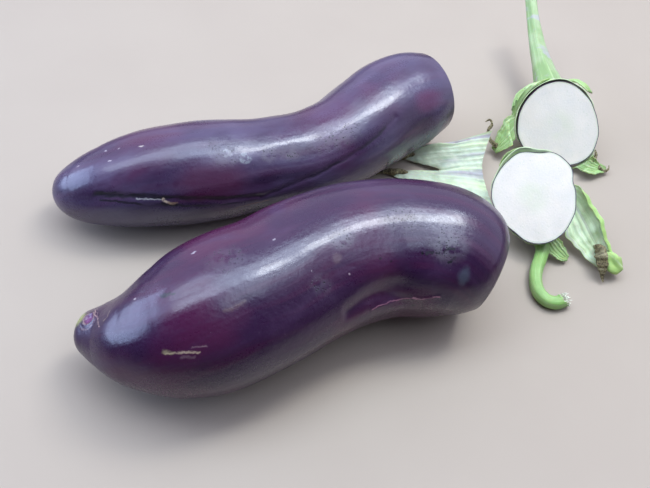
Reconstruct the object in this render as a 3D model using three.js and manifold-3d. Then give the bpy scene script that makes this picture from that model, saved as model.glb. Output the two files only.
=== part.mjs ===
// Two long purple eggplants whose stem ends have been cut off, lying side by side,
// with the two cut tops and one loose piece of calyx beside them.
// Millimetres, +Z up. Everything rests on the plane z = 0.
import * as THREE from 'three';
import { mergeVertices } from 'three/addons/utils/BufferGeometryUtils.js';
import Module from 'manifold-3d';

const wasm = await Module();
wasm.setup();

// ---- driving dimensions -------------------------------------------------------------

const UP = new THREE.Vector3(0, 0, 1);
const GAP = 0.3; // clearance between pieces that grew against each other
const CALYX_WALL = 1.5;
const LEAF_THICKNESS = 1.3;
const LEAF_EDGE = 0.6; // half the narrowest width of a leaf
const FRUIT_FACETS = { rings: 38, sides: 28 };
const STEM_FACETS = { rings: 22, sides: 12 };
const LEAF_FACETS = { along: 14, across: 6 };
const LOOSE_LEAF_FACETS = { along: 10, across: 24 };
const TOP_SIDES = 28;

// Each eggplant: axis is the line of its middle from the blossom end to the cut, as
// [x, y, z], and girth its half thickness, as [distance from the blossom end, radius].
const FRONT_EGGPLANT = {
  axis: [
    [-97, -83, 20],
    [-84, -84.5, 22.5],
    [-71, -85, 26],
    [-58, -82, 29.5],
    [-45.5, -75.5, 32],
    [-34, -66.5, 32.5],
    [-22, -57, 32.5],
    [-8, -43, 32.4],
    [8, -30.5, 32.4],
    [26, -21, 31.8],
    [44, -17, 31.5],
    [60, -17, 31],
    [77.4, -19.8, 27.6],
  ],
  girth: [
    [0, 0],
    [0.6, 4],
    [3, 8.5],
    [9, 12],
    [20, 17.5],
    [32, 23.2],
    [44, 28.4],
    [58, 32.4],
    [75, 33.6],
    [95, 33],
    [115, 33.4],
    [140, 33],
    [160, 32.4],
    [178, 32],
    [190, 31],
    [200.5, 28.6],
    [209, 25],
    [215, 20],
  ],
};
const REAR_EGGPLANT = {
  axis: [
    [-133.5, -7.5, 15],
    [-121, -7.5, 18],
    [-108, -5, 21.5],
    [-91, 1.5, 24],
    [-75, 8, 24.5],
    [-58, 15, 24.5],
    [-40, 24, 23.5],
    [-20, 35, 23],
    [-2, 49, 24],
    [11, 64.5, 25],
    [21.5, 78, 25.5],
    [31, 87.5, 25.5],
    [41, 96.5, 25],
  ],
  girth: [
    [0, 0],
    [0.7, 4.5],
    [4, 9.5],
    [12, 14.5],
    [24, 18.8],
    [38, 22.3],
    [60, 24.6],
    [80, 24.8],
    [105, 23.4],
    [130, 23],
    [155, 24.5],
    [180, 26.2],
    [198, 26],
    [208, 24.8],
    [216.5, 22.6],
  ],
};

// Each cut top is the fruit's shoulder with the calyx grown over it. Its cut face is a disc
// at centre, turned to azimuth and elevation. The deeper the shoulder goes, the more it leans
// by lean = [right, up] in the face's own plane, towards where the stem grows out. swell is
// how far the rim is from round.
const FRONT_TOP = {
  centre: [99, 34, 25.5],
  azimuth: 250,
  elevation: 52,
  radius: 22.2,
  height: 11,
  lean: [4, -8],
  swell: { two: 0.07, twoAt: 80, three: 0.045, threeAt: 280 },
  calyxEdge: 24,
};
const REAR_TOP = {
  centre: [117, 95, 19.5],
  azimuth: 262,
  elevation: 42,
  radius: 23,
  height: 14,
  lean: [-6, 9],
  swell: { two: 0.02, twoAt: 90, three: 0.01, threeAt: 60 },
  calyxEdge: 14,
};

// Each stem: the line of its middle, and its girth as [share of the length, radius].
const FRONT_STEM = {
  axis: [
    [103, 32, 8.5],
    [107.5, 25.5, 6.2],
    [110.5, 18.5, 4.8],
    [109.5, 12, 4.2],
    [107.6, 5, 3.9],
    [107, -2, 3.7],
    [108.3, -8.5, 3.6],
    [112, -12.8, 3.6],
    [117, -13.6, 3.7],
    [122, -10.5, 4],
  ],
  girth: [
    [0, 5],
    [0.14, 4.2],
    [0.35, 3.5],
    [0.8, 3.4],
    [1, 3.6],
  ],
};
const REAR_STEM = {
  axis: [
    [114, 113, 18],
    [111.5, 125, 20],
    [107.7, 138, 22.5],
    [103.5, 153, 26],
    [99.8, 168, 31],
    [97, 182, 36],
  ],
  girth: [
    [0, 9.5],
    [0.16, 8.2],
    [0.32, 6.4],
    [0.5, 5],
    [0.75, 4],
    [1, 3.5],
  ],
};

// Leaves of the calyx. line runs from foot to tip; widths holds [share of the length, half
// width]; facing is the way the upper face looks at the foot and at the tip; cup raises the
// two edges, as a share of the half width.
const FRONT_SEPAL_LONG = {
  line: [
    [119, 51, 14.5],
    [125, 43.5, 14],
    [130.5, 35, 12],
    [136, 26, 9],
    [142.5, 18, 6.8],
    [152, 13.5, 5.4],
  ],
  widths: [
    [0, 7],
    [0.25, 11],
    [0.55, 11.4],
    [0.82, 6.4],
    [1, 4],
  ],
  facing: [
    [-0.35, -0.6, 0.7],
    [-0.5, -0.4, 0.75],
  ],
  cup: 0.35,
};
const FRONT_SEPAL_LOW = {
  line: [
    [112.5, 23, 8],
    [117, 19, 5.2],
    [121, 16.8, 3.4],
    [124.5, 16, 2.4],
  ],
  widths: [
    [0, 4],
    [0.4, 5],
    [0.8, 3.6],
    [1, 1.4],
  ],
  facing: [
    [0.1, -0.5, 0.8],
    [0.3, -0.4, 0.85],
  ],
  cup: 0.3,
};
const FRONT_SEPAL_BACK = {
  line: [
    [96, 51, 17],
    [92, 55, 22],
    [88.5, 57, 27],
    [86.5, 57, 31.5],
  ],
  widths: [
    [0, 9],
    [0.4, 11],
    [0.8, 9],
    [1, 4],
  ],
  facing: [
    [0.25, -0.7, 0.65],
    [0.3, -0.85, 0.45],
  ],
  cup: 0.25,
};
const REAR_SEPAL_LEFT = {
  line: [
    [98, 96, 20],
    [93, 90, 14.5],
    [89, 86, 8.5],
    [85, 83, 3],
  ],
  widths: [
    [0, 8],
    [0.35, 8.5],
    [0.75, 5],
    [1, 1.4],
  ],
  facing: [
    [-0.8, -0.4, 0.5],
    [-0.5, -0.3, 0.8],
  ],
  cup: 0.2,
};
const REAR_SEPAL_COLLAR = {
  line: [
    [106, 117, 30],
    [96.5, 109, 30.5],
    [91.5, 100.5, 27],
    [92.5, 92, 21],
  ],
  widths: [
    [0, 5],
    [0.4, 6.5],
    [0.8, 5],
    [1, 2],
  ],
  facing: [
    [-0.5, 0.4, 0.75],
    [-0.9, -0.1, 0.4],
  ],
  cup: -0.2,
};
const REAR_SEPAL_RIGHT = {
  line: [
    [130, 84, 9],
    [137, 82, 6],
    [143.5, 83, 3.6],
    [150, 85, 2.2],
  ],
  widths: [
    [0, 7],
    [0.35, 6.5],
    [0.75, 3],
    [1, 1.2],
  ],
  facing: [
    [0.3, -0.6, 0.7],
    [0.2, -0.2, 0.95],
  ],
  cup: 0.2,
};
const REAR_SEPAL_TOP = {
  line: [
    [118, 121, 29],
    [122.5, 119.5, 32.5],
    [127, 115.5, 34],
    [131, 110.5, 33],
  ],
  widths: [
    [0, 4],
    [0.4, 5.5],
    [0.8, 4],
    [1, 1.4],
  ],
  facing: [
    [0.1, 0.5, 0.85],
    [0.5, 0.3, 0.8],
  ],
  cup: -0.15,
};

// The loose piece of calyx lies flat between the fruits: one straight cut edge, and two leaf
// points on its far side. Both rows run across it, from its back corner to its front one.
const LOOSE_CUT_EDGE = [
  [80, 84.5, 17],
  [78, 75, 11.5],
  [77.3, 66.5, 7],
  [80, 55, 4.4],
  [84, 42, 4.6],
  [91, 30, 4.4],
];
const LOOSE_POINTED_EDGE = [
  [56, 76, 8],
  [34, 67.5, 1.8],
  [54.5, 61, 4],
  [28.5, 54.5, 1.8],
  [52, 45, 1.8],
  [70, 33, 2],
];

// ---- helpers --------------------------------------------------------------------------

const { clamp, degToRad, mapLinear } = THREE.MathUtils;

const vectors = (rows) => rows.map((row) => new THREE.Vector3(...row));

const curveThrough = (rows) => new THREE.CatmullRomCurve3(vectors(rows), false, 'catmullrom', 0.5);

const material = (color, roughness) =>
  new THREE.MeshStandardMaterial({ color, roughness, metalness: 0 });

// The value at x on the broken line through rows of [x, value].
function valueAt(rows, x) {
  const next = rows.findIndex(([end]) => end >= x);
  const after = Math.max(next, 1);
  const [startX, startValue] = rows[after - 1];
  const [endX, endValue] = rows[after];
  return mapLinear(x, startX, endX, startValue, endValue);
}

// Moves every vertex of a geometry by a function of its own position.
function reshape(geometry, move) {
  const position = geometry.getAttribute('position');
  const point = new THREE.Vector3();
  for (let i = 0; i < position.count; i += 1) {
    point.fromBufferAttribute(position, i);
    move(point);
    position.setXYZ(i, point.x, point.y, point.z);
  }
  geometry.computeVertexNormals();
  return geometry;
}

// A turned body bent along its axis. What would sink under the table is pressed flat on it.
function bentBody(axis, girth, { rings, sides }) {
  const line = curveThrough(axis);
  const rows = girth.map(([distance, radius]) => new THREE.Vector2(radius, distance));
  const profile = new THREE.SplineCurve(rows).getPoints(rings);
  profile.forEach((point) => {
    point.x = Math.max(point.x, 0);
  });
  const length = profile.at(-1).y;
  profile.push(new THREE.Vector2(0, length));
  return reshape(new THREE.LatheGeometry(profile, sides), (point) => {
    const share = clamp(point.y / length, 0, 1);
    const along = line.getTangentAt(share);
    const side = new THREE.Vector3().crossVectors(along, UP).normalize();
    const above = new THREE.Vector3().crossVectors(side, along);
    const { x, z } = point;
    point.copy(line.getPointAt(share)).addScaledVector(side, x).addScaledVector(above, z);
    point.z = Math.max(point.z, 0);
  });
}

function toSolid(geometry) {
  const bare = geometry.clone();
  bare.deleteAttribute('normal');
  bare.deleteAttribute('uv');
  const merged = mergeVertices(bare, 1e-3);
  const mesh = new wasm.Mesh({
    numProp: 3,
    vertProperties: merged.getAttribute('position').array,
    triVerts: new Uint32Array(merged.index.array),
  });
  return new wasm.Manifold(mesh);
}

function toGeometry(solid) {
  const { vertProperties, triVerts } = solid.getMesh();
  const geometry = new THREE.BufferGeometry();
  geometry.setAttribute('position', new THREE.Float32BufferAttribute(vertProperties, 3));
  geometry.setIndex(Array.from(triVerts));
  geometry.computeVertexNormals();
  return geometry;
}

// What is left of a geometry clear of the solids given.
function clearOf(geometry, ...solids) {
  const whole = toSolid(geometry);
  return toGeometry(solids.reduce((rest, solid) => rest.subtract(solid), whole));
}

// ---- cut tops -------------------------------------------------------------------------

// Places a body turned about +Y, with its cut face at y = 0, where a cut top lies.
function placeTop(top, geometry) {
  const azimuth = degToRad(top.azimuth);
  const elevation = degToRad(top.elevation);
  const outward = new THREE.Vector3(Math.cos(azimuth), Math.sin(azimuth), 0);
  outward.multiplyScalar(Math.cos(elevation)).addScaledVector(UP, Math.sin(elevation));
  const right = new THREE.Vector3().crossVectors(UP, outward).normalize();
  const up = new THREE.Vector3().crossVectors(outward, right);
  const centre = new THREE.Vector3(...top.centre);
  const { two, twoAt, three, threeAt } = top.swell;
  const [leanRight, leanUp] = top.lean;
  return reshape(geometry, (point) => {
    const angle = Math.atan2(point.z, point.x);
    const oval = two * Math.cos(2 * (angle - degToRad(twoAt)));
    const lobed = three * Math.cos(3 * (angle - degToRad(threeAt)));
    const rim = 1 + oval + lobed;
    const leaning = (point.y / top.height) ** 2;
    const across = point.x * rim + leanRight * leaning;
    const rise = point.z * rim + leanUp * leaning;
    const depth = point.y;
    point.copy(centre).addScaledVector(right, across).addScaledVector(up, rise);
    point.addScaledVector(outward, -depth);
    point.z = Math.max(point.z, 0);
  });
}

// An oval arc over the shoulder, from an angle above the cut face to the axis.
function shoulderArc(radius, height, fromDegrees, steps) {
  const start = degToRad(fromDegrees);
  return Array.from({ length: steps + 1 }, (_, i) => {
    const angle = start + ((Math.PI / 2 - start) * i) / steps;
    const onAxis = i === steps;
    return new THREE.Vector2(onAxis ? 0 : radius * Math.cos(angle), height * Math.sin(angle));
  });
}

function topFlesh(top) {
  const profile = [new THREE.Vector2(0, 0), ...shoulderArc(top.radius, top.height, 0, 9)];
  return placeTop(top, new THREE.LatheGeometry(profile, TOP_SIDES));
}

function topCalyx(top) {
  const grown = GAP + CALYX_WALL;
  const inner = shoulderArc(top.radius + GAP, top.height + GAP, top.calyxEdge, 7).reverse();
  const outer = shoulderArc(top.radius + grown, top.height + grown, top.calyxEdge, 7);
  return placeTop(top, new THREE.LatheGeometry([...inner, ...outer], TOP_SIDES));
}

// The whole top as one body, a gap larger all round, for trimming what grows on it.
function topEnvelope(top) {
  const grown = 2 * GAP + CALYX_WALL;
  const profile = [
    new THREE.Vector2(0, -GAP),
    new THREE.Vector2(top.radius + grown, -GAP),
    ...shoulderArc(top.radius + grown, top.height + grown, 0, 12),
  ];
  return toSolid(placeTop(top, new THREE.LatheGeometry(profile, 2 * TOP_SIDES)));
}

// ---- stems and leaves -------------------------------------------------------------------

function stemBody({ axis, girth }, extra = 0) {
  const length = curveThrough(axis).getLength();
  const rows = girth.map(([share, radius]) => [share * length, radius + extra]);
  return bentBody(axis, [[0, 0], ...rows], STEM_FACETS);
}

function leafBody({ line, widths, facing, cup }) {
  const middle = curveThrough(line);
  const [footFacing, tipFacing] = vectors(facing);
  const sheet = new THREE.BoxGeometry(1, 1, 1, LEAF_FACETS.along, LEAF_FACETS.across, 1);
  return reshape(sheet, (point) => {
    const share = clamp(point.x + 0.5, 0, 1);
    const across = 2 * point.y;
    const along = middle.getTangentAt(share);
    const looks = footFacing.clone().lerp(tipFacing, share);
    const side = new THREE.Vector3().crossVectors(looks, along).normalize();
    const face = new THREE.Vector3().crossVectors(along, side);
    const halfWidth = Math.max(valueAt(widths, share), LEAF_EDGE);
    const rise = cup * across * across * halfWidth + point.z * LEAF_THICKNESS;
    point.copy(middle.getPointAt(share)).addScaledVector(side, across * halfWidth);
    point.addScaledVector(face, rise);
    point.z = Math.max(point.z, 0);
  });
}

function looseLeafBody() {
  const cutEdge = curveThrough(LOOSE_CUT_EDGE);
  const pointedEdge = curveThrough(LOOSE_POINTED_EDGE);
  const sheet = new THREE.BoxGeometry(1, 1, 1, LOOSE_LEAF_FACETS.along, LOOSE_LEAF_FACETS.across, 1);
  return reshape(sheet, (point) => {
    const towardsPoints = 0.5 - point.x;
    const across = 0.5 - point.y;
    const layer = point.z * LEAF_THICKNESS;
    point.copy(cutEdge.getPoint(across)).lerp(pointedEdge.getPoint(across), towardsPoints);
    point.z = Math.max(point.z + layer, 0);
  });
}

// ---- the object ---------------------------------------------------------------------------

const skin = material(0x2a1430, 0.25);
const flesh = material(0xf2f5e2, 0.55);
const calyxGreen = material(0x8fb45f, 0.6);
const leafGreen = material(0xb9cf96, 0.65);
const stemGreen = material(0x7cba4c, 0.55);

const frontTop = topEnvelope(FRONT_TOP);
const rearTop = topEnvelope(REAR_TOP);
const frontStemRoom = toSolid(stemBody(FRONT_STEM, GAP));
const rearStemRoom = toSolid(stemBody(REAR_STEM, GAP));
const frontFruit = bentBody(FRONT_EGGPLANT.axis, FRONT_EGGPLANT.girth, FRUIT_FACETS);
const rearFruit = bentBody(REAR_EGGPLANT.axis, REAR_EGGPLANT.girth, FRUIT_FACETS);

const pieces = [
  ['front_eggplant', frontFruit, skin],
  ['rear_eggplant', rearFruit, skin],
  ['front_top_flesh', topFlesh(FRONT_TOP), flesh],
  ['front_top_calyx', topCalyx(FRONT_TOP), calyxGreen],
  ['front_top_stem', clearOf(stemBody(FRONT_STEM), frontTop), stemGreen],
  ['front_top_sepal_long', clearOf(leafBody(FRONT_SEPAL_LONG), frontTop), leafGreen],
  ['front_top_sepal_low', clearOf(leafBody(FRONT_SEPAL_LOW), frontTop, frontStemRoom), leafGreen],
  ['front_top_sepal_back', clearOf(leafBody(FRONT_SEPAL_BACK), frontTop), leafGreen],
  ['rear_top_flesh', topFlesh(REAR_TOP), flesh],
  ['rear_top_calyx', topCalyx(REAR_TOP), calyxGreen],
  ['rear_top_stem', clearOf(stemBody(REAR_STEM), rearTop), stemGreen],
  ['rear_top_sepal_left', clearOf(leafBody(REAR_SEPAL_LEFT), rearTop), leafGreen],
  ['rear_top_sepal_collar', clearOf(leafBody(REAR_SEPAL_COLLAR), rearTop, rearStemRoom), leafGreen],
  ['rear_top_sepal_right', clearOf(leafBody(REAR_SEPAL_RIGHT), rearTop), leafGreen],
  ['rear_top_sepal_top', clearOf(leafBody(REAR_SEPAL_TOP), rearTop, rearStemRoom), leafGreen],
  ['loose_calyx_leaf', clearOf(looseLeafBody(), frontTop), leafGreen],
];

const group = new THREE.Group();
pieces.forEach(([name, geometry, meshMaterial]) => {
  const mesh = new THREE.Mesh(geometry, meshMaterial);
  mesh.name = name;
  group.add(mesh);
});

// The origin is under the middle of the whole group, on the table.
const bounds = new THREE.Box3().setFromObject(group);
const middle = bounds.getCenter(new THREE.Vector3());
group.position.set(-middle.x, -middle.y, -bounds.min.z);

export default group;
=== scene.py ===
"""Two purple eggplants with their stem ends sliced off, the two sliced tops and a loose calyx leaf.

The shape tables are in millimetres, on a table whose middle is under the camera's aim. Everything
that reaches Blender is in metres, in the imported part's frame.
"""
import math
import bmesh
import bpy
import numpy as np
from mathutils import Matrix, Vector


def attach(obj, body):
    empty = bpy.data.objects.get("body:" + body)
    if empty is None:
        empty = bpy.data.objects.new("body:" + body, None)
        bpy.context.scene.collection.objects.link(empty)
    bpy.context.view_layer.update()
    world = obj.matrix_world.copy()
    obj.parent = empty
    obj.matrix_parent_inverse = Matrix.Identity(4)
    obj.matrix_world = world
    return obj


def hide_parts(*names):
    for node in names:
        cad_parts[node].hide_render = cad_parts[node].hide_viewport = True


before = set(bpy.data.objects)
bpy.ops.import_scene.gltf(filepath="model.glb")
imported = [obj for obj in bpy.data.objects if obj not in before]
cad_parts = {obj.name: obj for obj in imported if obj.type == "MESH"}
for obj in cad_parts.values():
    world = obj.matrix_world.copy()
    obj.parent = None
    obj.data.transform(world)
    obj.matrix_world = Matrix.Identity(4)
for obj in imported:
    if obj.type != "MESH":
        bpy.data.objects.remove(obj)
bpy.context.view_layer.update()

MM = 0.001  # metres in a millimetre
PART_ORIGIN = np.array([9.777, 37.205, 0.0])  # the part's origin, on the table of the shape tables
UP = np.array([0.0, 0.0, 1.0])
SKIN_EDGE = 0.7  # thickness of skin seen on a cut
TOP_SKIN_EDGE = 0.45
CALYX_GAP = 0.35  # between a top and its calyx cup
CALYX_WALL = 1.5  # thickness of the cup at its thickest
LEAF_BEHIND_CUT = 1.2
LEAF_OFF_TOP = CALYX_WALL + 0.5
LEAF_THICKNESS = 1.1
LEAF_RIM = 0.35  # thickness of a leaf at its edge

# ---- shape tables --------------------------------------------------------------------
# axis is the line of the middle. girth is [distance from the blossom end, radius], and its last
# distance falls on the cut, at the end of the line. Places on the skin are [the same distance,
# degrees round from the top]. swells are the skin's swellings and hollows, as [place, length, degrees
# across, height], and folds are (route over the skin, width, depth).

FRONT_EGGPLANT = {
    "axis": [
        [-97, -83, 20], [-84, -84.5, 22.5], [-71, -85, 26], [-58, -82, 29.5], [-45.5, -75.5, 32],
        [-34, -66.5, 32.5], [-22, -57, 32.5], [-8, -43, 32.4], [8, -30.5, 32.4], [26, -21, 31.8],
        [44, -17, 31.5], [60, -17, 31], [77.4, -19.8, 27.6],
    ],
    "girth": [
        [0, 0], [0.6, 4], [3, 8.5], [9, 12], [20, 17.5], [32, 23.2], [44, 28.4], [58, 32.4], [75, 33.6],
        [95, 33], [115, 33.4], [140, 33], [160, 32.4], [178, 32], [190, 31], [200.5, 28.6], [209, 25],
        [215, 20],
    ],
    "swells": [
        [[30, 32], 13, 20, 0.8], [[42, 72], 22, 18, -0.6], [[64, 18], 24, 15, 0.6],
        [[60, -18], 20, 14, -0.5], [[100, 42], 26, 12, -0.7], [[122, 16], 30, 14, 0.5],
        [[150, 44], 28, 10, 0.7], [[142, 66], 22, 9, -1.5], [[176, 58], 18, 12, 0.8],
        [[186, 30], 16, 14, 0.6], [[168, 86], 26, 9, 1.1], [[112, 88], 26, 12, 0.7],
        [[16, 4], 9, 34, -0.8], [[90, -50], 40, 22, 0.5], [[150, -70], 30, 20, -0.6],
        [[190, -60], 16, 24, 0.5], [[90, 140], 50, 30, -0.5], [[120, 180], 40, 30, 0.4],
    ],
    "folds": [
        ([[117, 72], [128, 70], [139, 71], [150, 77], [162, 83], [175, 87]], 3.4, 0.8),
        ([[133, 81], [151, 80], [176, 79], [189, 76]], 0.7, -0.22),
        ([[30, 16], [46, 10], [62, 4]], 4.5, 0.5),
    ],
    "scar": ([9.6, 1], 2.9, 0.8),  # place, radius, depth
    # the bloom share: waxy bloom laid over the skin, partly a painted sheen of soft reflections
    "bloom_and_sheen": 0.04,
    "seed": 11,
}
REAR_EGGPLANT = {
    "axis": [
        [-133.4, -7.5, 15], [-121, -7.5, 18], [-108, -5, 21.5], [-91, 1.5, 24], [-75, 8, 24.5],
        [-58, 15, 24.5], [-40, 24, 23.5], [-20, 35, 23], [-2, 49, 24], [11, 64.5, 25],
        [21.5, 78, 25.5], [31, 87.5, 25.5], [41, 96.5, 25],
    ],
    "girth": [
        [0, 0], [0.7, 4.5], [4, 9.5], [12, 14.5], [24, 18.8], [38, 22.3], [60, 24.6], [80, 24.8],
        [105, 23.4], [130, 23], [155, 24.5], [180, 26.2], [198, 26], [208, 24.8], [216.5, 22.6],
    ],
    "swells": [
        [[22, 24], 12, 22, 0.5], [[50, 22], 26, 18, 0.5], [[72, -4], 24, 12, 0.4],
        [[92, 34], 18, 14, 0.6], [[120, 50], 24, 9, 0.5], [[120, 22], 26, 14, 0.4],
        [[155, 34], 26, 14, 0.5], [[186, 40], 16, 18, 0.6], [[104, 66], 20, 9, -0.6],
        [[30, 56], 16, 10, -0.5], [[70, -52], 40, 20, 0.4], [[140, -50], 36, 18, -0.5],
        [[190, -40], 18, 22, 0.5], [[100, 150], 50, 30, -0.4], [[200, 100], 14, 30, 0.4],
    ],
    "folds": [
        ([[98, 82], [118, 71], [132, 63], [148, 55], [163, 46], [171, 42]], 1.5, 0.45),
        ([[26, 50], [39, 57], [52, 65], [65, 70], [81, 76], [97, 80]], 1.2, 0.35),
    ],
    "scar": ([5.5, 150], 3.6, 0.7),
    # a high bloom share: the pale lavender haze on this skin is partly a painted sheen of soft
    # reflections
    "bloom_and_sheen": 0.42,
    "seed": 23,
}

# Each sliced top: its cut face is at centre, turned to azimuth and elevation. rim is the outline
# of the cut as [degrees, radius], lean the way the shoulder leans as it closes under the stem,
# and edge how far above the cut the calyx begins, as [degrees, degrees up the shoulder].
FRONT_TOP = {
    "centre": [99, 34, 25.5], "azimuth": 250, "elevation": 52, "height": 11, "lean": [4, -8],
    "rim": [
        [0, 22.9], [17, 21.8], [32, 21.5], [45, 21.3], [62, 23.9], [78, 24.2], [92, 23.9], [107, 22.1],
        [132, 22.7], [152, 21.6], [172, 20.7], [196, 20.6], [222, 19.9], [252, 19.9], [270, 20.8],
        [285, 22.9], [302, 25.1], [320, 25.3], [338, 24.3],
    ],
    "edge": [[0, 30], [50, 24], [95, 12], [135, 8], [175, 14], [230, 26], [280, 22], [320, 30]],
    "flare": [[0, 0.2], [60, 0.3], [100, 1.6], [130, 2.2], [165, 1.2], [220, 0.2], [300, 0.2]],
    "seed": 31,
}
REAR_TOP = {
    "centre": [117, 95, 19.5], "azimuth": 262, "elevation": 42, "height": 14, "lean": [-6, 9],
    "rim": [
        [0, 22.3], [20, 21], [45, 20.8], [75, 22.3], [105, 24.4], [135, 23.9], [165, 23.1], [210, 22.9],
        [240, 23], [270, 22.6], [300, 23.2], [322, 24.2], [342, 23.6],
    ],
    "edge": [[0, 22], [40, 16], [75, 8], [120, 4], [160, 4], [200, 6], [240, 18], [290, 16], [325, 6]],
    "flare": [
        [0, 0.2], [60, 0.8], [110, 0.6], [150, 0.5], [190, 0.5], [230, 0.3], [300, 0.4], [330, 1.4],
    ],
    "seed": 47,
}

# Each stem: the line of its middle, and its girth as [share of the length, radius].
FRONT_STEM = {
    "axis": [
        [103, 32, 8.5], [107.5, 25.5, 6.2], [110.5, 18.5, 4.8], [109.5, 12, 4.2], [107.6, 5, 3.9],
        [107, -2, 3.7], [108.3, -8.5, 3.6], [112, -12.8, 3.6], [117, -13.6, 3.7], [121.6, -11, 4],
    ],
    "girth": [[0, 5], [0.14, 4.2], [0.35, 3.5], [0.8, 3.4], [1, 3.5]],
    "ribs": 5, "rib_height": 0.16, "torn": True, "seed": 5,
}
REAR_STEM = {
    "axis": [
        [114, 113, 18], [111.5, 125, 20], [107.7, 138, 22.5], [103.5, 153, 26], [99.8, 168, 31],
        [97, 181.6, 36],
    ],
    "girth": [[0, 9.5], [0.16, 8.2], [0.32, 6.4], [0.5, 5], [0.75, 4], [1, 3.5]],
    "ribs": 6, "rib_height": 0.34, "torn": False, "seed": 9,
}

# Leaves of the calyx. line runs from foot to tip; widths holds [share of the length, half width];
# facing is the way the upper face looks at the foot and at the tip; cup raises both edges, in
# degrees of turn; roll turns the left or the right edge over, in degrees; curls are dried ends, each
# (line, radii along it, number of rings round it), and bulb is a swollen green tip in the same form.
SEPALS = {
    "front_top_sepal_long": {
        "line": [
            [119, 51, 14.5], [125, 43.5, 14], [130.5, 35, 12], [136, 26, 9], [141.5, 18.5, 6.6],
            [147.5, 14.6, 5.2],
        ],
        "widths": [[0, 7], [0.25, 11], [0.55, 11.4], [0.82, 7.4], [1, 3.4]],
        "facing": [[-0.35, -0.6, 0.7], [-0.5, -0.4, 0.75]],
        "cup": 42, "roll": [0, 125], "veins": 7, "wave": 0.5, "seed": 61,
        "bulb": (
            [[141, 19, 7], [144, 16, 7.4], [147.6, 13.8, 6.4], [151, 14.6, 5]], [2.4, 4.2, 4.4, 1.9], 0,
        ),
        "curls": [
            ([[136, 21.5, 9.5], [138, 18.8, 11.5], [139.6, 14.5, 10.5], [140.6, 10.6, 7],
              [141.6, 7.6, 3.6], [142.6, 5.4, 1.6]], [0.7, 2.3, 2.9, 2.4, 1.2, 0.3], 6),
        ],
    },
    "front_top_sepal_low": {
        "line": [[112.5, 23, 8], [117, 19, 5.2], [121, 16.8, 3.4], [124.5, 16, 2.4]],
        "widths": [[0, 4], [0.4, 5], [0.8, 3.6], [1, 1.4]],
        "facing": [[0.1, -0.5, 0.8], [0.3, -0.4, 0.85]],
        "cup": 34, "roll": [20, 10], "veins": 5, "wave": 0.25, "seed": 63, "curls": [],
    },
    "front_top_sepal_back": {
        "line": [[96, 51, 17], [92, 55, 22], [88.5, 57, 27], [86.5, 57, 31.5]],
        "widths": [[0, 9], [0.4, 11], [0.8, 9], [1, 4]],
        "facing": [[0.25, -0.7, 0.65], [0.3, -0.85, 0.45]],
        "cup": 26, "roll": [10, 10], "veins": 9, "wave": 0.4, "seed": 67, "curls": [],
    },
    "rear_top_sepal_left": {
        "line": [[98, 96, 20], [93, 90, 14.5], [89, 86, 8.5], [85, 83, 3]],
        "widths": [[0, 8], [0.35, 8.5], [0.75, 5.6], [1, 2.2]],
        "facing": [[-0.8, -0.4, 0.5], [-0.5, -0.3, 0.8]],
        "cup": 30, "roll": [36, 20], "veins": 7, "wave": 0.5, "seed": 71,
        "curls": [
            ([[87, 85.5, 4.8], [83.5, 85.5, 6.2], [80.6, 88, 8.2], [79.6, 91.5, 10.4], [81, 94, 12.4],
              [79.4, 96.4, 13.6], [77.2, 95, 12.8]], [1.9, 1.3, 0.9, 0.8, 0.8, 0.6, 0.3], 5),
        ],
    },
    "rear_top_sepal_collar": {
        "line": [[106, 117, 30], [96.5, 109, 30.5], [91.5, 100.5, 27], [92.5, 92, 21]],
        "widths": [[0, 5], [0.4, 6.5], [0.8, 5], [1, 2]],
        "facing": [[-0.5, 0.4, 0.75], [-0.9, -0.1, 0.4]],
        "cup": -22, "roll": [12, 12], "veins": 6, "wave": 0.4, "seed": 73, "curls": [],
    },
    "rear_top_sepal_right": {
        "line": [[130, 84, 9], [137, 82, 6], [143.5, 83, 3.6], [149.4, 84.8, 2.2]],
        "widths": [[0, 7], [0.35, 6.5], [0.75, 3.6], [1, 1.5]],
        "facing": [[0.3, -0.6, 0.7], [0.2, -0.2, 0.95]],
        "cup": 40, "roll": [30, 60], "veins": 7, "wave": 0.4, "seed": 79,
        "curls": [
            ([[139, 84, 5.6], [141.5, 87.5, 6.6], [142, 91.5, 7.4], [140.4, 94, 8]],
             [1.3, 1, 0.7, 0.3], 4),
            ([[144, 83.5, 4], [147.4, 82.6, 3.2], [150, 84, 3], [150.8, 87, 3.6]],
             [1.5, 0.9, 0.6, 0.25], 3),
        ],
    },
    "rear_top_sepal_top": {
        "line": [[118, 121, 29], [122.5, 119.5, 32.5], [127, 115.5, 34], [131, 110.5, 33]],
        "widths": [[0, 4], [0.4, 5.5], [0.8, 4], [1, 1.4]],
        "facing": [[0.1, 0.5, 0.85], [0.5, 0.3, 0.8]],
        "cup": -20, "roll": [10, 10], "veins": 5, "wave": 0.3, "seed": 83, "curls": [],
    },
}

# The loose piece of calyx lies between the fruits: one straight cut edge, and two leaf points on
# its far side. Both rows run across it, from its back corner to its front one.
LOOSE_LEAF = {
    "cut_edge": [
        [80, 84.5, 17], [78, 75, 11.5], [77.3, 66.5, 7], [80, 55, 4.4], [84, 42, 4.6], [91, 30, 4.4],
    ],
    "points": [
        [56, 76, 8], [34, 67.5, 1.8], [54.5, 61, 4], [28.5, 54.5, 1.8], [52, 45, 1.8], [70, 33, 2],
    ],
    "curls": [
        ([[44, 70, 3.4], [38, 68.6, 3.8], [33, 65.4, 4.4], [29, 66.4, 3.4], [25, 64, 2]],
         [0.4, 1.3, 1.5, 1.0, 0.3], 4),
        ([[40, 55.5, 1.6], [34, 55.6, 2.8], [28.5, 54, 3], [24, 53.6, 2], [20.5, 51.5, 1.4]],
         [0.3, 1.3, 1.6, 1.1, 0.3], 4),
    ],
    "seed": 91,
}

# ---- curves and noise ----------------------------------------------------------------


def unit(vectors):
    return vectors / np.linalg.norm(vectors, axis=-1, keepdims=True)


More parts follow.
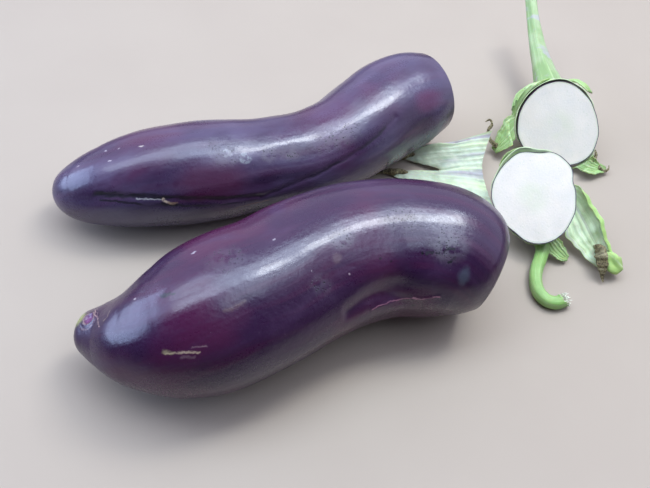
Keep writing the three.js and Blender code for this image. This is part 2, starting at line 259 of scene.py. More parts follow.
def spline(rows, where, reflected=True):
    """A smooth curve through rows of numbers; where runs from 0 at the first row to 1 at the last."""
    rows = np.asarray(rows, float)
    before_first = 2 * rows[0] - rows[1] if reflected else rows[0]
    after_last = 2 * rows[-1] - rows[-2] if reflected else rows[-1]
    padded = np.vstack([before_first, rows, after_last])
    place = np.clip(where, 0, 1) * (len(rows) - 1)
    index = np.minimum(place.astype(int), len(rows) - 2)
    part = (place - index)[..., None]
    before, start, end, after = (padded[index + k] for k in range(4))
    leave, arrive = (end - before) / 2, (after - start) / 2
    cubic = (2 * start - 2 * end + leave + arrive) * part**3
    square = (3 * end - 3 * start - 2 * leave - arrive) * part**2
    return cubic + square + leave * part + start


def round_spline(rows, degrees):
    """A value given at some degrees round a circle, as a smooth curve at any others."""
    rows = np.asarray(rows, float)
    wrapped = np.vstack([rows[-2:] - [360, 0], rows, rows[:3] + [360, 0]])
    fine = spline(wrapped, np.linspace(0, 1, 1500))
    return np.interp(np.mod(degrees, 360), fine[:, 0], fine[:, 1])


def along_line(rows, shares):
    """Middle, direction, side and upper vectors at shares of a line's length, and that length."""
    steps = np.linspace(0, 1, 1500)
    fine = spline(rows, steps)
    travelled = np.concatenate([[0], np.cumsum(np.linalg.norm(np.diff(fine, axis=0), axis=1))])
    where = np.interp(shares * travelled[-1], travelled, steps)
    nudge = 1e-3
    ahead = spline(rows, np.minimum(where + nudge, 1)) - spline(rows, np.maximum(where - nudge, 0))
    along = unit(ahead)
    side = unit(np.cross(along, UP))
    return spline(rows, where), along, side, np.cross(side, along), travelled[-1]


def steady_frames(rows, shares):
    """Like along_line, with a side vector that never flips, for thin curls that turn every way."""
    middle, along, side, above, length = along_line(rows, shares)
    for i in range(1, len(shares)):
        carried = side[i - 1] - along[i] * (side[i - 1] @ along[i])
        side[i] = carried / np.linalg.norm(carried)
        above[i] = np.cross(side[i], along[i])
    return middle, along, side, above, length


def ripple(points, size, seed, waves=7):
    """Smooth noise, mostly between -1 and 1, made of crossed waves about size from crest to crest."""
    random = np.random.default_rng(seed)
    total = np.zeros(points.shape[:-1])
    for _ in range(waves):
        direction = unit(random.normal(size=points.shape[-1]))
        pitch = size * random.uniform(0.7, 1.5)
        total += np.sin(points @ direction * 2 * math.pi / pitch + random.uniform(0, 2 * math.pi))
    return total / math.sqrt(waves * 2)


def bell(offset, width):
    return np.exp(-((offset / width) ** 2))


def turn_between(degrees, centre):
    return np.mod(degrees - centre + 180, 360) - 180


def smooth_step(value, low, high):
    part = np.clip((value - low) / (high - low), 0, 1)
    return part * part * (3 - 2 * part)


def route_distance(route, along, round_mm, radius_at):
    """How far each place on a skin is, in millimetres, from a route of [distance, degrees]."""
    nearest = np.full(np.broadcast(along, round_mm).shape, 1e9)
    ends = np.array([[s, math.radians(d) * radius_at(s)] for s, d in route])
    for start, end in zip(ends[:-1], ends[1:]):
        step = end - start
        part = ((along - start[0]) * step[0] + (round_mm - start[1]) * step[1]) / (step @ step)
        part = np.clip(part, 0, 1)
        gap = np.hypot(along - start[0] - part * step[0], round_mm - start[1] - part * step[1])
        nearest = np.minimum(nearest, gap)
    return nearest


# ---- meshes --------------------------------------------------------------------------


class Shape:
    """Collects the grids and caps of one piece. Each corner keeps its place on the surface."""

    def __init__(self):
        self.points = []
        self.places = []
        self.faces = []
        self.corner_places = []
        self.slots = []

    def add_points(self, points, places):
        first = len(self.points)
        self.points.extend(points.tolist())
        self.places.extend(places.tolist())
        return np.arange(first, first + len(points))

    def add_face(self, corners, slot):
        self.faces.append(corners)
        self.slots.append(slot)
        self.corner_places.extend(self.places[corner] for corner in corners)

    def grid(self, points, places, closed=False, slot=0):
        """Rows of points joined by faces. On a closed grid places has one more column than points."""
        rows, columns = points.shape[:2]
        index = self.add_points(points.reshape(-1, 3), places[:, :columns].reshape(-1, 3))
        index = index.reshape(rows, columns)
        around = np.concatenate([index, index[:, :1]], axis=1) if closed else index
        corners = [around[:-1, :-1], around[:-1, 1:], around[1:, 1:], around[1:, :-1]]
        spots = [places[:-1, :-1], places[:-1, 1:], places[1:, 1:], places[1:, :-1]]
        faces = np.stack(corners, axis=-1).reshape(-1, 4)
        self.faces.extend(faces.tolist())
        self.slots.extend([slot] * len(faces))
        self.corner_places.extend(np.stack(spots, axis=2).reshape(-1, 3).tolist())
        return index

    def fan(self, loop, middle, place, slot=0):
        centre = int(self.add_points(np.array([middle]), np.array([place], float))[0])
        for a, b in zip(loop, np.roll(loop, -1)):
            self.add_face([int(a), int(b), centre], slot)

    def bridge(self, loop, other, slot=0):
        for a, b, c, d in zip(loop, np.roll(loop, -1), np.roll(other, -1), other):
            self.add_face([int(a), int(b), int(c), int(d)], slot)

    def tube(self, points, places, slot):
        """A closed tube: rings of points, with a fan over each end."""
        index = self.grid(points, places, closed=True, slot=slot)
        for row in (0, -1):
            self.fan(index[row], points[row].mean(axis=0), places[row, 0], slot)

    def leaf(self, upper, lower, places):
        """A thin closed body between an upper and a lower grid."""
        top = self.grid(upper, places)
        under_places = places.copy()
        under_places[..., 2] += 1
        bottom = self.grid(lower, under_places)
        self.bridge(border(top), border(bottom))

    def finish(self, name, slot_name, *materials, sharp=55):
        mesh = bpy.data.meshes.new(name)
        points = (np.array(self.points) - PART_ORIGIN) * MM
        mesh.from_pydata(points.tolist(), [], self.faces)
        place = mesh.attributes.new("place", "FLOAT_VECTOR", "CORNER")
        place.data.foreach_set("vector", np.array(self.corner_places, np.float32).ravel())
        for material in materials:
            mesh.materials.append(material)
        mesh.polygons.foreach_set("material_index", self.slots)
        mesh.polygons.foreach_set("use_smooth", [True] * len(self.faces))
        tidy = bmesh.new()
        tidy.from_mesh(mesh)
        bmesh.ops.recalc_face_normals(tidy, faces=tidy.faces)
        tidy.to_mesh(mesh)
        tidy.free()
        mesh.set_sharp_from_angle(angle=math.radians(sharp))
        piece = add_object(name, mesh)
        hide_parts(name.removesuffix("_look"))
        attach(piece, "root")
        return piece


def add_object(name, data):
    made = bpy.data.objects.new(name, data)
    bpy.context.scene.collection.objects.link(made)
    return made


def border(index):
    """The loop of points round the edge of an open grid."""
    return np.concatenate([index[0, :-1], index[:-1, -1], index[-1, :0:-1], index[:0:-1, 0]])


def on_table(points):
    """Presses flat, in place, what would sink under the table."""
    points[..., 2] = np.maximum(points[..., 2], 0)
    return points


def around_line(middle, side, above, turning, reach):
    """Rings of points round a line: reach out from it at each turn, 0 being straight up."""
    outward = np.sin(turning)[..., None] * side[:, None] + np.cos(turning)[..., None] * above[:, None]
    return middle[:, None] + reach[..., None] * outward


def places_of(first, second, third=0.0):
    first, second, third = np.broadcast_arrays(first, second, third)
    return np.stack([first, second, third], axis=-1).astype(float)


# ---- materials -----------------------------------------------------------------------


class Paint:
    """One node material, with short ways to add and join its nodes."""

    def __init__(self, name):
        self.material = bpy.data.materials.new(name)
        self.material.use_nodes = True
        self.tree = self.material.node_tree
        self.shader = self.tree.nodes["Principled BSDF"]
        self.place = self.node("ShaderNodeAttribute", attribute_name="place").outputs["Vector"]
        self.metres = self.node("ShaderNodeTexCoord").outputs["Object"]
        self.mm = self.vector("SCALE", self.metres, scale=1 / MM)
        parts = self.node("ShaderNodeSeparateXYZ", Vector=self.place).outputs
        self.along, self.across, self.layer = parts[0], parts[1], parts[2]

    def node(self, kind, **values):
        made = self.tree.nodes.new(kind)
        for key, value in values.items():
            if key in made.bl_rna.properties:
                setattr(made, key, value)
            else:
                self.put(made.inputs[key.replace("_", " ")], value)
        return made

    def put(self, socket, value):
        if isinstance(value, bpy.types.NodeSocket):
            self.tree.links.new(value, socket)
        elif socket.type == "RGBA" and len(value) == 3:
            socket.default_value = (*value, 1)
        else:
            socket.default_value = value

    def maths(self, operation, first, second=0.0):
        made = self.tree.nodes.new("ShaderNodeMath")
        made.operation = operation
        self.put(made.inputs[0], first)
        self.put(made.inputs[1], second)
        return made.outputs[0]

    def times(self, first, second):
        return self.maths("MULTIPLY", first, second)

    def most(self, first, second):
        return self.maths("MAXIMUM", first, second)

    def vector(self, operation, first, second=None, scale=None):
        made = self.tree.nodes.new("ShaderNodeVectorMath")
        made.operation = operation
        self.put(made.inputs[0], first)
        if second is not None:
            self.put(made.inputs[1], second)
        if scale is not None:
            self.put(made.inputs["Scale"], scale)
        return made.outputs["Value" if operation in ("LENGTH", "DOT_PRODUCT", "DISTANCE") else "Vector"]

    def ramp(self, value, low, high, start=0.0, end=1.0):
        """start below low, end above high, and smooth between."""
        made = self.tree.nodes.new("ShaderNodeMapRange")
        made.interpolation_type = "SMOOTHSTEP"
        for socket, number in zip(made.inputs, (value, low, high, start, end)):
            self.put(socket, number)
        return made.outputs[0]

    def mix(self, factor, first, second):
        made = self.tree.nodes.new("ShaderNodeMix")
        made.data_type = "RGBA"
        self.put(made.inputs[0], factor)
        self.put(made.inputs[6], first)
        self.put(made.inputs[7], second)
        return made.outputs[2]

    def lay(self, share, colour):
        """Covers a share of the base colour with another."""
        self.colour = self.mix(share, self.colour, colour)

    def noise(self, size, detail=3.0, stretch=(1, 1, 1), where=None, seed=0.0, bend=0.0):
        """Noise with features about size millimetres wide, drawn out by stretch."""
        where = where if where is not None else self.mm
        squeezed = self.vector("MULTIPLY", where, [1 / (size * s) for s in stretch])
        moved = self.vector("ADD", squeezed, (seed, seed * 1.7, seed * 2.3))
        made = self.node("ShaderNodeTexNoise", Scale=1.0, Detail=detail, Distortion=bend, Vector=moved)
        return made.outputs["Fac"]

    def cells(self, size, seed):
        """Distance from the nearest of many scattered points, about size millimetres apart."""
        moved = self.vector("ADD", self.vector("SCALE", self.mm, scale=1 / size), (seed, seed, seed))
        return self.node("ShaderNodeTexVoronoi", Scale=1.0, Vector=moved).outputs["Distance"]

    def near_line(self, start, end, width, soft):
        """1 on a straight stroke across the skin from start to end, 0 away from it."""
        step = [b - a for a, b in zip(start, end)]
        length = math.hypot(*step)
        ahead = [s / length for s in step]
        moved = self.vector("SUBTRACT", self.flat, (*start, 0))
        run = self.vector("DOT_PRODUCT", moved, (*ahead, 0))
        kept = self.maths("MINIMUM", self.maths("MAXIMUM", run, 0.0), length)
        foot = self.vector("SCALE", (*ahead, 0), scale=kept)
        gap = self.vector("DISTANCE", moved, foot)
        return self.ramp(gap, width * (1 - soft), width * (1 + soft), 1.0, 0.0)

    def near_spot(self, centre, radius, soft, oval):
        """1 on a round or oval spot of the skin, 0 away from it."""
        moved = self.vector("SUBTRACT", self.flat, (*centre, 0))
        squeezed = self.vector("MULTIPLY", moved, (1 / oval, 1, 1))
        gap = self.vector("LENGTH", squeezed)
        return self.ramp(gap, radius * (1 - soft), radius * (1 + soft), 1.0, 0.0)

    @property
    def flat(self):
        """The place on a skin without its third number, bent a little so that marks look torn."""
        if not hasattr(self, "_flat"):
            fine = self.node("ShaderNodeTexNoise", Scale=0.9 / MM, Detail=2.0, Vector=self.metres)
            wide = self.node("ShaderNodeTexNoise", Scale=0.22 / MM, Detail=2.0, Vector=self.metres)
            bent = self.vector("MULTIPLY", self.place, (1, 1, 0))
            for noise, reach in ((fine, 0.9), (wide, 2.6)):
                offset = self.vector("SUBTRACT", noise.outputs["Color"], (0.5, 0.5, 0.5))
                bent = self.vector("ADD", bent, self.vector("MULTIPLY", offset, (reach, reach, 0)))
            self._flat = bent
        return self._flat

    def bump(self, height, depth_mm, below=None):
        """Relief depth_mm deep, on top of the bumps below it."""
        made = self.node("ShaderNodeBump", Height=height, Distance=depth_mm * MM, Strength=1.0)
        if below is not None:
            self.put(made.inputs["Normal"], below)
        return made.outputs[0]

    def finish(self, roughness, normal, **constants):
        """Plugs the colour, roughness and bumps into the shader; constants are its other values."""
        self.put(self.shader.inputs["Base Color"], self.colour)
        self.put(self.shader.inputs["Roughness"], roughness)
        self.put(self.shader.inputs["Normal"], normal)
        for key, value in constants.items():
            self.shader.inputs[key.replace("_", " ")].default_value = value
        return self.material


DEEP_PURPLE = (0.021, 0.0024, 0.028)
MAROON = (0.05, 0.0035, 0.032)
DUSTY_PURPLE = (0.04, 0.012, 0.052)
SCRATCH_BEIGE = (0.44, 0.34, 0.25)
SCRATCH_PINK = (0.42, 0.19, 0.27)
SCRATCH_DULL = (0.33, 0.24, 0.26)
BRUISE = (0.03, 0.008, 0.04)
NEARLY_BLACK = (0.004, 0.002, 0.006)
# pale lavender of a waxy bloom, partly a painted sheen of soft reflections
WAXY_BLOOM_AND_SHEEN = (0.13, 0.12, 0.22)


class SkinPaint(Paint):
    """Waxy eggplant skin. Marks are laid over self.colour, and add to self.dull and self.pits."""

    def __init__(self, name, fruit):
        super().__init__(name)
        self.radius_at = radius_function(fruit)
        seed = fruit["seed"]
        broad = self.noise(46, 3, seed=seed)
        streaks = self.noise(5, 4, (9, 1, 1), self.place, seed=seed + 3)
        cloud = self.noise(13, 4, (2.2, 1, 1), self.place, seed=seed + 7, bend=0.6)
        self.fine = self.noise(1.1, 3)
        self.colour = self.mix(self.ramp(broad, 0.46, 0.66), DEEP_PURPLE, MAROON)
        self.lay(self.ramp(streaks, 0.45, 0.75, 0.0, 0.6), MAROON)
        self.lay(self.ramp(cloud, 0.5, 0.78, 0.0, 0.75), DUSTY_PURPLE)
        self.lay(self.ramp(self.fine, 0.6, 0.8, 0.0, 0.35), DUSTY_PURPLE)
        # waxy bloom in patches, partly a painted sheen: a pale lavender haze standing in for soft
        # reflections
        bloom_and_sheen = self.ramp(self.noise(15, 5, (2.6, 1, 1), self.place, seed=seed + 9), 0.3, 0.7, 0.2, 1.0)
        self.lay(self.times(bloom_and_sheen, fruit["bloom_and_sheen"]), WAXY_BLOOM_AND_SHEEN)
        dots = self.ramp(self.cells(1.9, seed=2.0), 0.06, 0.14, 1.0, 0.0)
        dot_choice = self.ramp(self.noise(4.0, 1, seed=5.0), 0.58, 0.66)
        self.lay(self.times(self.times(dots, dot_choice), 0.3), (0.2, 0.15, 0.2))
        self.dull = self.ramp(cloud, 0.35, 0.75, 0.0, 0.12)
        self.pits = 0.0

    def spot(self, place):
        """A place on the skin, in millimetres along it and round it."""
        return (place[0], math.radians(place[1]) * self.radius_at(place[0]))

    def lay_speckles(self, place, radius, oval, haze):
        area = self.near_spot(self.spot(place), radius, 0.6, oval)
        ragged = self.times(area, self.ramp(self.noise(3.4, 3, seed=8.0), 0.34, 0.56))
        grains = self.ramp(self.cells(1.3, seed=place[0]), 0.2, 0.33, 1.0, 0.0)
        shown = self.times(ragged, grains)
        self.pits = self.most(self.pits, shown)
        self.lay(self.times(ragged, haze), (0.15, 0.14, 0.17))
        self.lay(self.times(shown, 0.95), NEARLY_BLACK)
        self.dull = self.most(self.dull, self.times(ragged, 0.22))

    def lay_stroke(self, route, width, soft, grain, strength, colour):
        ends = [self.spot(place) for place in route]
        shown = 0.0
        for start, end in zip(ends[:-1], ends[1:]):
            shown = self.most(shown, self.near_line(start, end, width, soft))
        wear = self.noise(grain, 3, (3, 1, 1), self.place, seed=len(ends))
        shown = self.times(self.times(shown, self.ramp(wear, 0.3, 0.55, 0.25, 1.0)), strength)
        self.lay(shown, colour)
        self.dull = self.most(self.dull, self.times(shown, 0.25))

    def lay_fleck(self, place, radius, oval, strength, colour):
        self.lay(self.times(self.near_spot(self.spot(place), radius, 0.5, oval), strength), colour)

    def lay_ring(self, place, radius, width, strength, colour):
        gap = self.vector("DISTANCE", self.flat, (*self.spot(place), 0))
        off = self.maths("ABSOLUTE", self.maths("SUBTRACT", gap, radius))
        shown = self.ramp(off, width * 0.4, width, strength, 0.0)
        broken = self.ramp(self.noise(2.2, 2, seed=radius), 0.4, 0.52)
        self.lay(self.times(shown, broken), colour)


def skin_material(name, fruit, marks):
    """Eggplant skin with its scars, scratches and speckles, painted shade along creases and under a
    nick, and a waxy bloom that is partly a painted sheen.
    """
    paint = SkinPaint(name, fruit)
    for kind, lay_one in (
        ("speckles", paint.lay_speckles), ("strokes", paint.lay_stroke),
        ("flecks", paint.lay_fleck), ("rings", paint.lay_ring),
    ):
        for mark in marks[kind]:
            lay_one(*mark)
    roughness = paint.maths("ADD", paint.ramp(paint.fine, 0.3, 0.7, 0.24, 0.32), paint.dull)
    surface = paint.bump(paint.noise(2.4, 3, (14, 1, 1), paint.place, seed=4.0), 0.10)
    surface = paint.bump(paint.noise(3.4, 2, seed=6.0), 0.16, surface)
    surface = paint.bump(paint.fine, 0.035, surface)
    surface = paint.bump(paint.maths("SUBTRACT", 1.0, paint.pits), 0.12, surface)
    return paint.finish(
        roughness, surface,
        Specular_IOR_Level=0.6, Specular_Tint=(0.8, 0.86, 1.0, 1.0),
        Coat_Weight=0.28, Coat_Roughness=0.12,
    )


# Marks on a skin, one row each; a few near-black strokes are painted shade, along creases and under a
# nick. A stroke has its route, width, softness, the grain of its wear, its strength and colour. A fleck
# has its place, radius, length over width, strength and colour. A patch of speckles has its place,
# radius, length over width and haze. A ring has its place, radius, width, strength and colour.
FRONT_MARKS = {
    "strokes": [
        ([[46.2, 45], [50.5, 48], [54.8, 50]], 0.34, 0.9, 1.2, 0.7, SCRATCH_BEIGE),
        ([[45.8, 44], [47.2, 46.2]], 0.6, 0.9, 1, 0.5, (0.34, 0.3, 0.17)),
        ([[53.3, 45.5], [57.2, 47]], 0.3, 0.9, 1.4, 0.45, SCRATCH_DULL),
        ([[49.4, 51], [53, 53]], 0.5, 0.9, 1.4, 0.22, SCRATCH_DULL),
        ([[133, 81], [139, 79], [151, 79.5], [176, 78.5]], 0.26, 0.8, 3, 0.55, SCRATCH_PINK),
        ([[168, 78.8], [176.4, 78.2], [188.5, 75.5]], 0.3, 0.8, 3, 0.75, SCRATCH_PINK),
        ([[65, 29], [68.3, 29], [72.2, 28.6]], 0.8, 0.95, 1.2, 0.12, SCRATCH_BEIGE),
        ([[172.5, 40], [176.4, 39]], 0.62, 0.3, 1.3, 1, NEARLY_BLACK),
        ([[178, 38.8], [181, 38.2]], 0.36, 0.3, 1.3, 1, NEARLY_BLACK),
        ([[184.2, 37.2], [189.5, 33.4]], 0.5, 0.3, 1.3, 1, NEARLY_BLACK),
        ([[188.5, 45], [190.6, 40]], 0.6, 0.3, 1.3, 1, NEARLY_BLACK),
        ([[10, -20], [14.9, 0], [17.8, 12], [20.3, 21]], 0.35, 0.6, 1.5, 0.55, (0.4, 0.26, 0.24)),
        ([[24.2, -3], [23.5, 6], [22, 11]], 0.28, 0.6, 1.5, 0.5, SCRATCH_BEIGE),
    ],
    "flecks": [
        ([170, 40], 0.75, 1, 1, NEARLY_BLACK), ([50.5, 2], 1.1, 1.4, 0.95, NEARLY_BLACK),
        ([53, 3.4], 0.5, 2, 0.9, NEARLY_BLACK), ([38.4, -5], 0.45, 1.8, 0.5, (0.5, 0.44, 0.46)),
        ([122, 44], 0.5, 1, 0.4, (0.5, 0.4, 0.46)), ([103, 29], 0.45, 0.6, 0.4, (0.5, 0.45, 0.5)),
        ([97.4, -5], 0.45, 1.3, 0.4, (0.5, 0.48, 0.55)),
        ([65, -26], 0.45, 1.3, 0.45, (0.5, 0.48, 0.55)),
        ([118.8, 29], 1.8, 1.4, 0.12, (0.4, 0.33, 0.3)), ([9.6, 1], 2.4, 1, 0.7, (0.16, 0.04, 0.14)),
        ([2.6, -6], 3.2, 1, 0.7, (0.3, 0.34, 0.1)), ([170, 87], 0.7, 2, 0.95, NEARLY_BLACK),
        ([197, 53], 4, 0.7, 0.13, (0.2, 0.36, 0.4)), ([141, 41], 0.5, 1, 0.9, NEARLY_BLACK),
        ([147, 44], 0.6, 0.7, 0.9, NEARLY_BLACK),
    ],
    "speckles": [
        ([184, 29], 8, 1.1, 0.55), ([125.9, 16], 5, 1.2, 0.6), ([160, 14], 6, 2, 0.2),
        ([104.5, 41], 4.5, 1.2, 0.12), ([74, -6], 6, 1.4, 0.1),
    ],
    "rings": [
        ([9.6, 1], 3.1, 0.6, 0.45, (0.34, 0.24, 0.2)), ([9.6, 1], 5.4, 0.5, 0.3, (0.3, 0.2, 0.2)),
    ],
}
REAR_MARKS = {
    "strokes": [
        # painted shade: a near-black band along the first crease of the rear fruit's folds
        ([[26, 50], [39, 57], [51.7, 64], [65, 69.5], [81, 75], [96.5, 79]],
         1.3, 0.6, 2.4, 0.95, NEARLY_BLACK),
        ([[27, 59], [47, 73], [69.8, 81], [87.5, 84]], 0.45, 0.6, 3, 0.9, NEARLY_BLACK),
        # painted shade: a near-black band along the second crease of the rear fruit's folds
        ([[98, 82], [118, 71], [132, 63], [148, 55], [163, 46]], 0.8, 0.7, 2.6, 0.7, NEARLY_BLACK),
        ([[41.6, 63], [51.7, 67]], 0.28, 0.6, 2, 0.6, (0.4, 0.4, 0.42)),
        ([[52.6, 66.4], [53.6, 70], [55.4, 72.6]], 0.62, 0.6, 1, 0.9, (0.55, 0.44, 0.34)),
        # painted shadow: a near-black stroke just under the beige nick
        ([[51.8, 71], [54, 74.6], [58, 76]], 0.8, 0.6, 1, 0.9, NEARLY_BLACK),
        ([[55.4, 72.6], [58.6, 73.4]], 0.6, 0.7, 1, 0.7, (0.3, 0.2, 0.12)),
        ([[83.5, 94], [92.5, 91.4], [101.9, 91]], 0.3, 0.6, 2, 0.55, (0.26, 0.1, 0.05)),
    ],
    "flecks": [
        ([59.3, 50], 1.5, 1, 0.5, BRUISE), ([52, 50], 0.8, 1.4, 0.5, BRUISE),
        ([38, 28], 1.2, 1.4, 0.3, BRUISE), ([31.8, -10], 0.42, 1.8, 0.6, (0.55, 0.5, 0.55)),
        ([33.6, 9], 0.42, 2.2, 0.6, (0.55, 0.5, 0.55)), ([47.3, 1], 0.42, 2.4, 0.6, (0.6, 0.55, 0.5)),
        ([20, 2], 0.4, 2, 0.4, (0.5, 0.42, 0.46)), ([38.3, -6], 0.4, 1.2, 0.4, (0.5, 0.46, 0.5)),
        ([75, 52], 9, 1.6, 0.5, (0.075, 0.008, 0.03)),
        ([196, 46], 5.5, 1.8, 0.35, (0.13, 0.014, 0.075)),
    ],
    "speckles": [
        ([79, 12], 3.4, 0.7, 0.1), ([84, 26], 5.5, 1, 0.25), ([103, 30], 3.6, 1.2, 0.4),
        ([115, 33], 3.6, 1.2, 0.3), ([140, 30], 5.5, 2.4, 0.25),
    ],
    "rings": [
        ([91.1, 32], 1.9, 1.3, 0.3, (0.4, 0.46, 0.5)), ([84, 24], 1.5, 1, 0.2, (0.4, 0.42, 0.44)),
        ([5.5, 150], 3.4, 0.8, 0.8, (0.3, 0.22, 0.14)),
    ],
}


def flesh_material():
    """Freshly cut flesh: nearly white, faintly green inwards, with a ring of tiny pale threads.

    place holds the distance from the middle as a share of the rim, and the degrees round it."""
    paint = Paint("eggplant_flesh")
    soft = paint.noise(11, 3, seed=1.0)
    grain = paint.noise(0.9, 4, seed=2.0)
    green = paint.times(paint.ramp(soft, 0.35, 0.7), paint.ramp(paint.along, 0.55, 0.1, 0.0, 1.0))
    paint.colour = paint.mix(paint.ramp(soft, 0.3, 0.7), (0.66, 0.63, 0.58), (0.72, 0.67, 0.61))
    paint.lay(paint.times(green, 0.5), (0.54, 0.6, 0.44))
    rind = paint.ramp(paint.along, 0.93, 0.985)
    paint.lay(paint.times(rind, 0.6), (0.4, 0.5, 0.34))
    threads = paint.ramp(paint.cells(1.3, seed=3.0), 0.12, 0.3, 1.0, 0.0)
    in_ring = paint.times(paint.ramp(paint.along, 0.66, 0.74), paint.ramp(paint.along, 0.84, 0.78))
    paint.lay(paint.times(paint.times(threads, in_ring), 0.5), (0.46, 0.52, 0.38))
    paint.lay(paint.ramp(grain, 0.5, 0.8, 0.0, 0.3), (0.5, 0.54, 0.48))
    knife = paint.noise(0.8, 2, (1, 24, 1), paint.mm, seed=4.0)
    surface = paint.bump(knife, 0.08)
    surface = paint.bump(grain, 0.07, surface)
    roughness = paint.ramp(grain, 0.3, 0.7, 0.38, 0.58)
    return paint.finish(roughness, surface, Subsurface_Weight=0.25, Subsurface_Scale=0.004,
                        Subsurface_Radius=(1.0, 0.9, 0.6), Specular_IOR_Level=0.5)


def calyx_material():
    """The green cup that holds the fruit: ridged lengthwise, darker in the grooves."""
    paint = Paint("calyx_green")
    patches = paint.noise(9, 4, seed=1.0)
    ribs = paint.noise(2.0, 3, (1, 6, 1), paint.place, seed=2.0)
    fine = paint.noise(0.7, 3, seed=3.0)
    paint.colour = paint.mix(paint.ramp(patches, 0.35, 0.65), (0.27, 0.43, 0.13), (0.42, 0.6, 0.24))
    paint.lay(paint.ramp(ribs, 0.45, 0.7, 0.0, 0.6), (0.6, 0.74, 0.42))
    blush = paint.ramp(paint.noise(7, 3, seed=6.0), 0.58, 0.72, 0.0, 0.55)
    paint.lay(blush, (0.24, 0.16, 0.24))
    edge = paint.ramp(paint.across, 0.0, 0.12, 0.75, 0.0)
    paint.lay(edge, (0.66, 0.78, 0.5))
    paint.lay(paint.ramp(fine, 0.58, 0.75, 0.0, 0.3), (0.2, 0.3, 0.1))
    surface = paint.bump(ribs, 0.3)
    surface = paint.bump(fine, 0.1, surface)
    return paint.finish(paint.ramp(fine, 0.3, 0.7, 0.42, 0.6), surface, Specular_IOR_Level=0.4)


def sepal_material(name, inner, outer, blush, dry_from):
    """A leaf of the calyx: veined lengthwise, purple along some veins, dry and brown at its tip.

    place holds the share of the length, the share across, and 1 more on the lower side."""
    paint = Paint(name)
    under = paint.ramp(paint.layer, 0.4, 0.6)
    patches = paint.noise(8, 4, seed=1.0)
    veins = paint.noise(0.12, 3, (9, 1, 1), paint.place, seed=2.0, bend=0.2)
    wide_veins = paint.noise(0.34, 2, (7, 1, 1), paint.place, seed=5.0, bend=0.3)
    fine = paint.noise(0.6, 3, seed=3.0)
    paint.colour = paint.mix(under, inner, outer)
    paint.lay(paint.ramp(patches, 0.4, 0.7, 0.0, 0.6), [0.6 * c for c in outer])
    paint.lay(paint.ramp(veins, 0.5, 0.68, 0.0, 0.6), (0.56, 0.68, 0.42))
    streak = paint.ramp(wide_veins, 0.55, 0.66, 0.0, blush)
    paint.lay(streak, (0.3, 0.24, 0.38))
    rim = paint.ramp(paint.maths("ABSOLUTE", paint.across), 0.9, 1.0, 0.0, 0.6)
    paint.lay(rim, (0.34, 0.5, 0.16))
    towards_tip = paint.maths("ADD", paint.along, paint.times(patches, 0.25))
    dry = paint.ramp(towards_tip, dry_from, dry_from + 0.16)
    brown = paint.mix(paint.ramp(fine, 0.35, 0.65), (0.07, 0.05, 0.03), (0.26, 0.2, 0.12))
    paint.lay(paint.times(dry, 0.9), brown)
    surface = paint.bump(veins, 0.28)
    surface = paint.bump(wide_veins, 0.25, surface)
    surface = paint.bump(fine, 0.1, surface)
    return paint.finish(paint.ramp(fine, 0.3, 0.7, 0.48, 0.68), surface, Specular_IOR_Level=0.35,
                        Subsurface_Weight=0.12, Subsurface_Scale=0.002)


def dried_material():
    """Withered ends of the leaves: brown, grey and ringed."""
    paint = Paint("calyx_dried")
    fine = paint.noise(0.8, 4, seed=1.0)
    rings = paint.noise(0.06, 2, (1, 30, 1), paint.place, seed=2.0)
    paint.colour = paint.mix(paint.ramp(fine, 0.35, 0.65), (0.05, 0.038, 0.022), (0.22, 0.19, 0.1))
    paint.lay(paint.ramp(rings, 0.5, 0.65, 0.0, 0.6), (0.4, 0.38, 0.24))
    surface = paint.bump(rings, 0.3)
    surface = paint.bump(fine, 0.2, surface)
    return paint.finish(paint.ramp(fine, 0.3, 0.7, 0.6, 0.85), surface, Specular_IOR_Level=0.3)


def stem_material(name, light, dark, blush):
    """A green stem with fine lengthwise ribs and a painted pale highlight along them. place holds the
    distance in mm and the degrees round.
    """
    paint = Paint(name)
    ribs = paint.noise(9, 3, (3.4, 1, 1), paint.place, seed=1.0)
    patches = paint.noise(10, 3, seed=2.0)
    fine = paint.noise(0.8, 3, seed=3.0)
    paint.colour = paint.mix(paint.ramp(patches, 0.35, 0.65), light, dark)
    # painted highlight: a paler green where the rib noise is high, along the stem's ribs
    paint.lay(paint.ramp(ribs, 0.5, 0.72, 0.0, 0.5), (0.42, 0.56, 0.3))
    tint = paint.noise(7, 3, (3, 1, 1), paint.mm, seed=8.0)
    paint.lay(paint.ramp(tint, 0.56, 0.68, 0.0, blush), (0.4, 0.33, 0.46))
    flecks = paint.ramp(paint.cells(2.6, seed=4.0), 0.07, 0.13, 0.6, 0.0)
    paint.lay(flecks, (0.24, 0.22, 0.08))
    surface = paint.bump(ribs, 0.25)
    surface = paint.bump(fine, 0.08, surface)
    return paint.finish(paint.ramp(fine, 0.3, 0.7, 0.36, 0.52), surface, Specular_IOR_Level=0.45,
                        Subsurface_Weight=0.12, Subsurface_Scale=0.002)


def fibre_material():
    """The torn end of a stem: silvery white pith and fibres."""
    paint = Paint("stem_fibre")
    fine = paint.noise(0.5, 4, seed=1.0)
    paint.colour = paint.mix(paint.ramp(fine, 0.35, 0.65), (0.42, 0.44, 0.3), (0.86, 0.88, 0.8))
    roughness = paint.ramp(fine, 0.3, 0.7, 0.35, 0.7)
    return paint.finish(roughness, paint.bump(fine, 0.25), Specular_IOR_Level=0.5)


# ---- the two eggplants ---------------------------------------------------------------


def radius_function(fruit):
    """The plain radius of a fruit, as a function of the distance from its blossom end."""
    fine = spline(fruit["girth"], np.linspace(0, 1, 3000), reflected=False)
    return lambda distance: np.interp(distance, fine[:, 0], fine[:, 1])


SKIN_INSET = 0.3  # keeps the bumps of the skin inside the part's own size
FRUIT_SIDES = 224
FRUIT_RINGS = 300


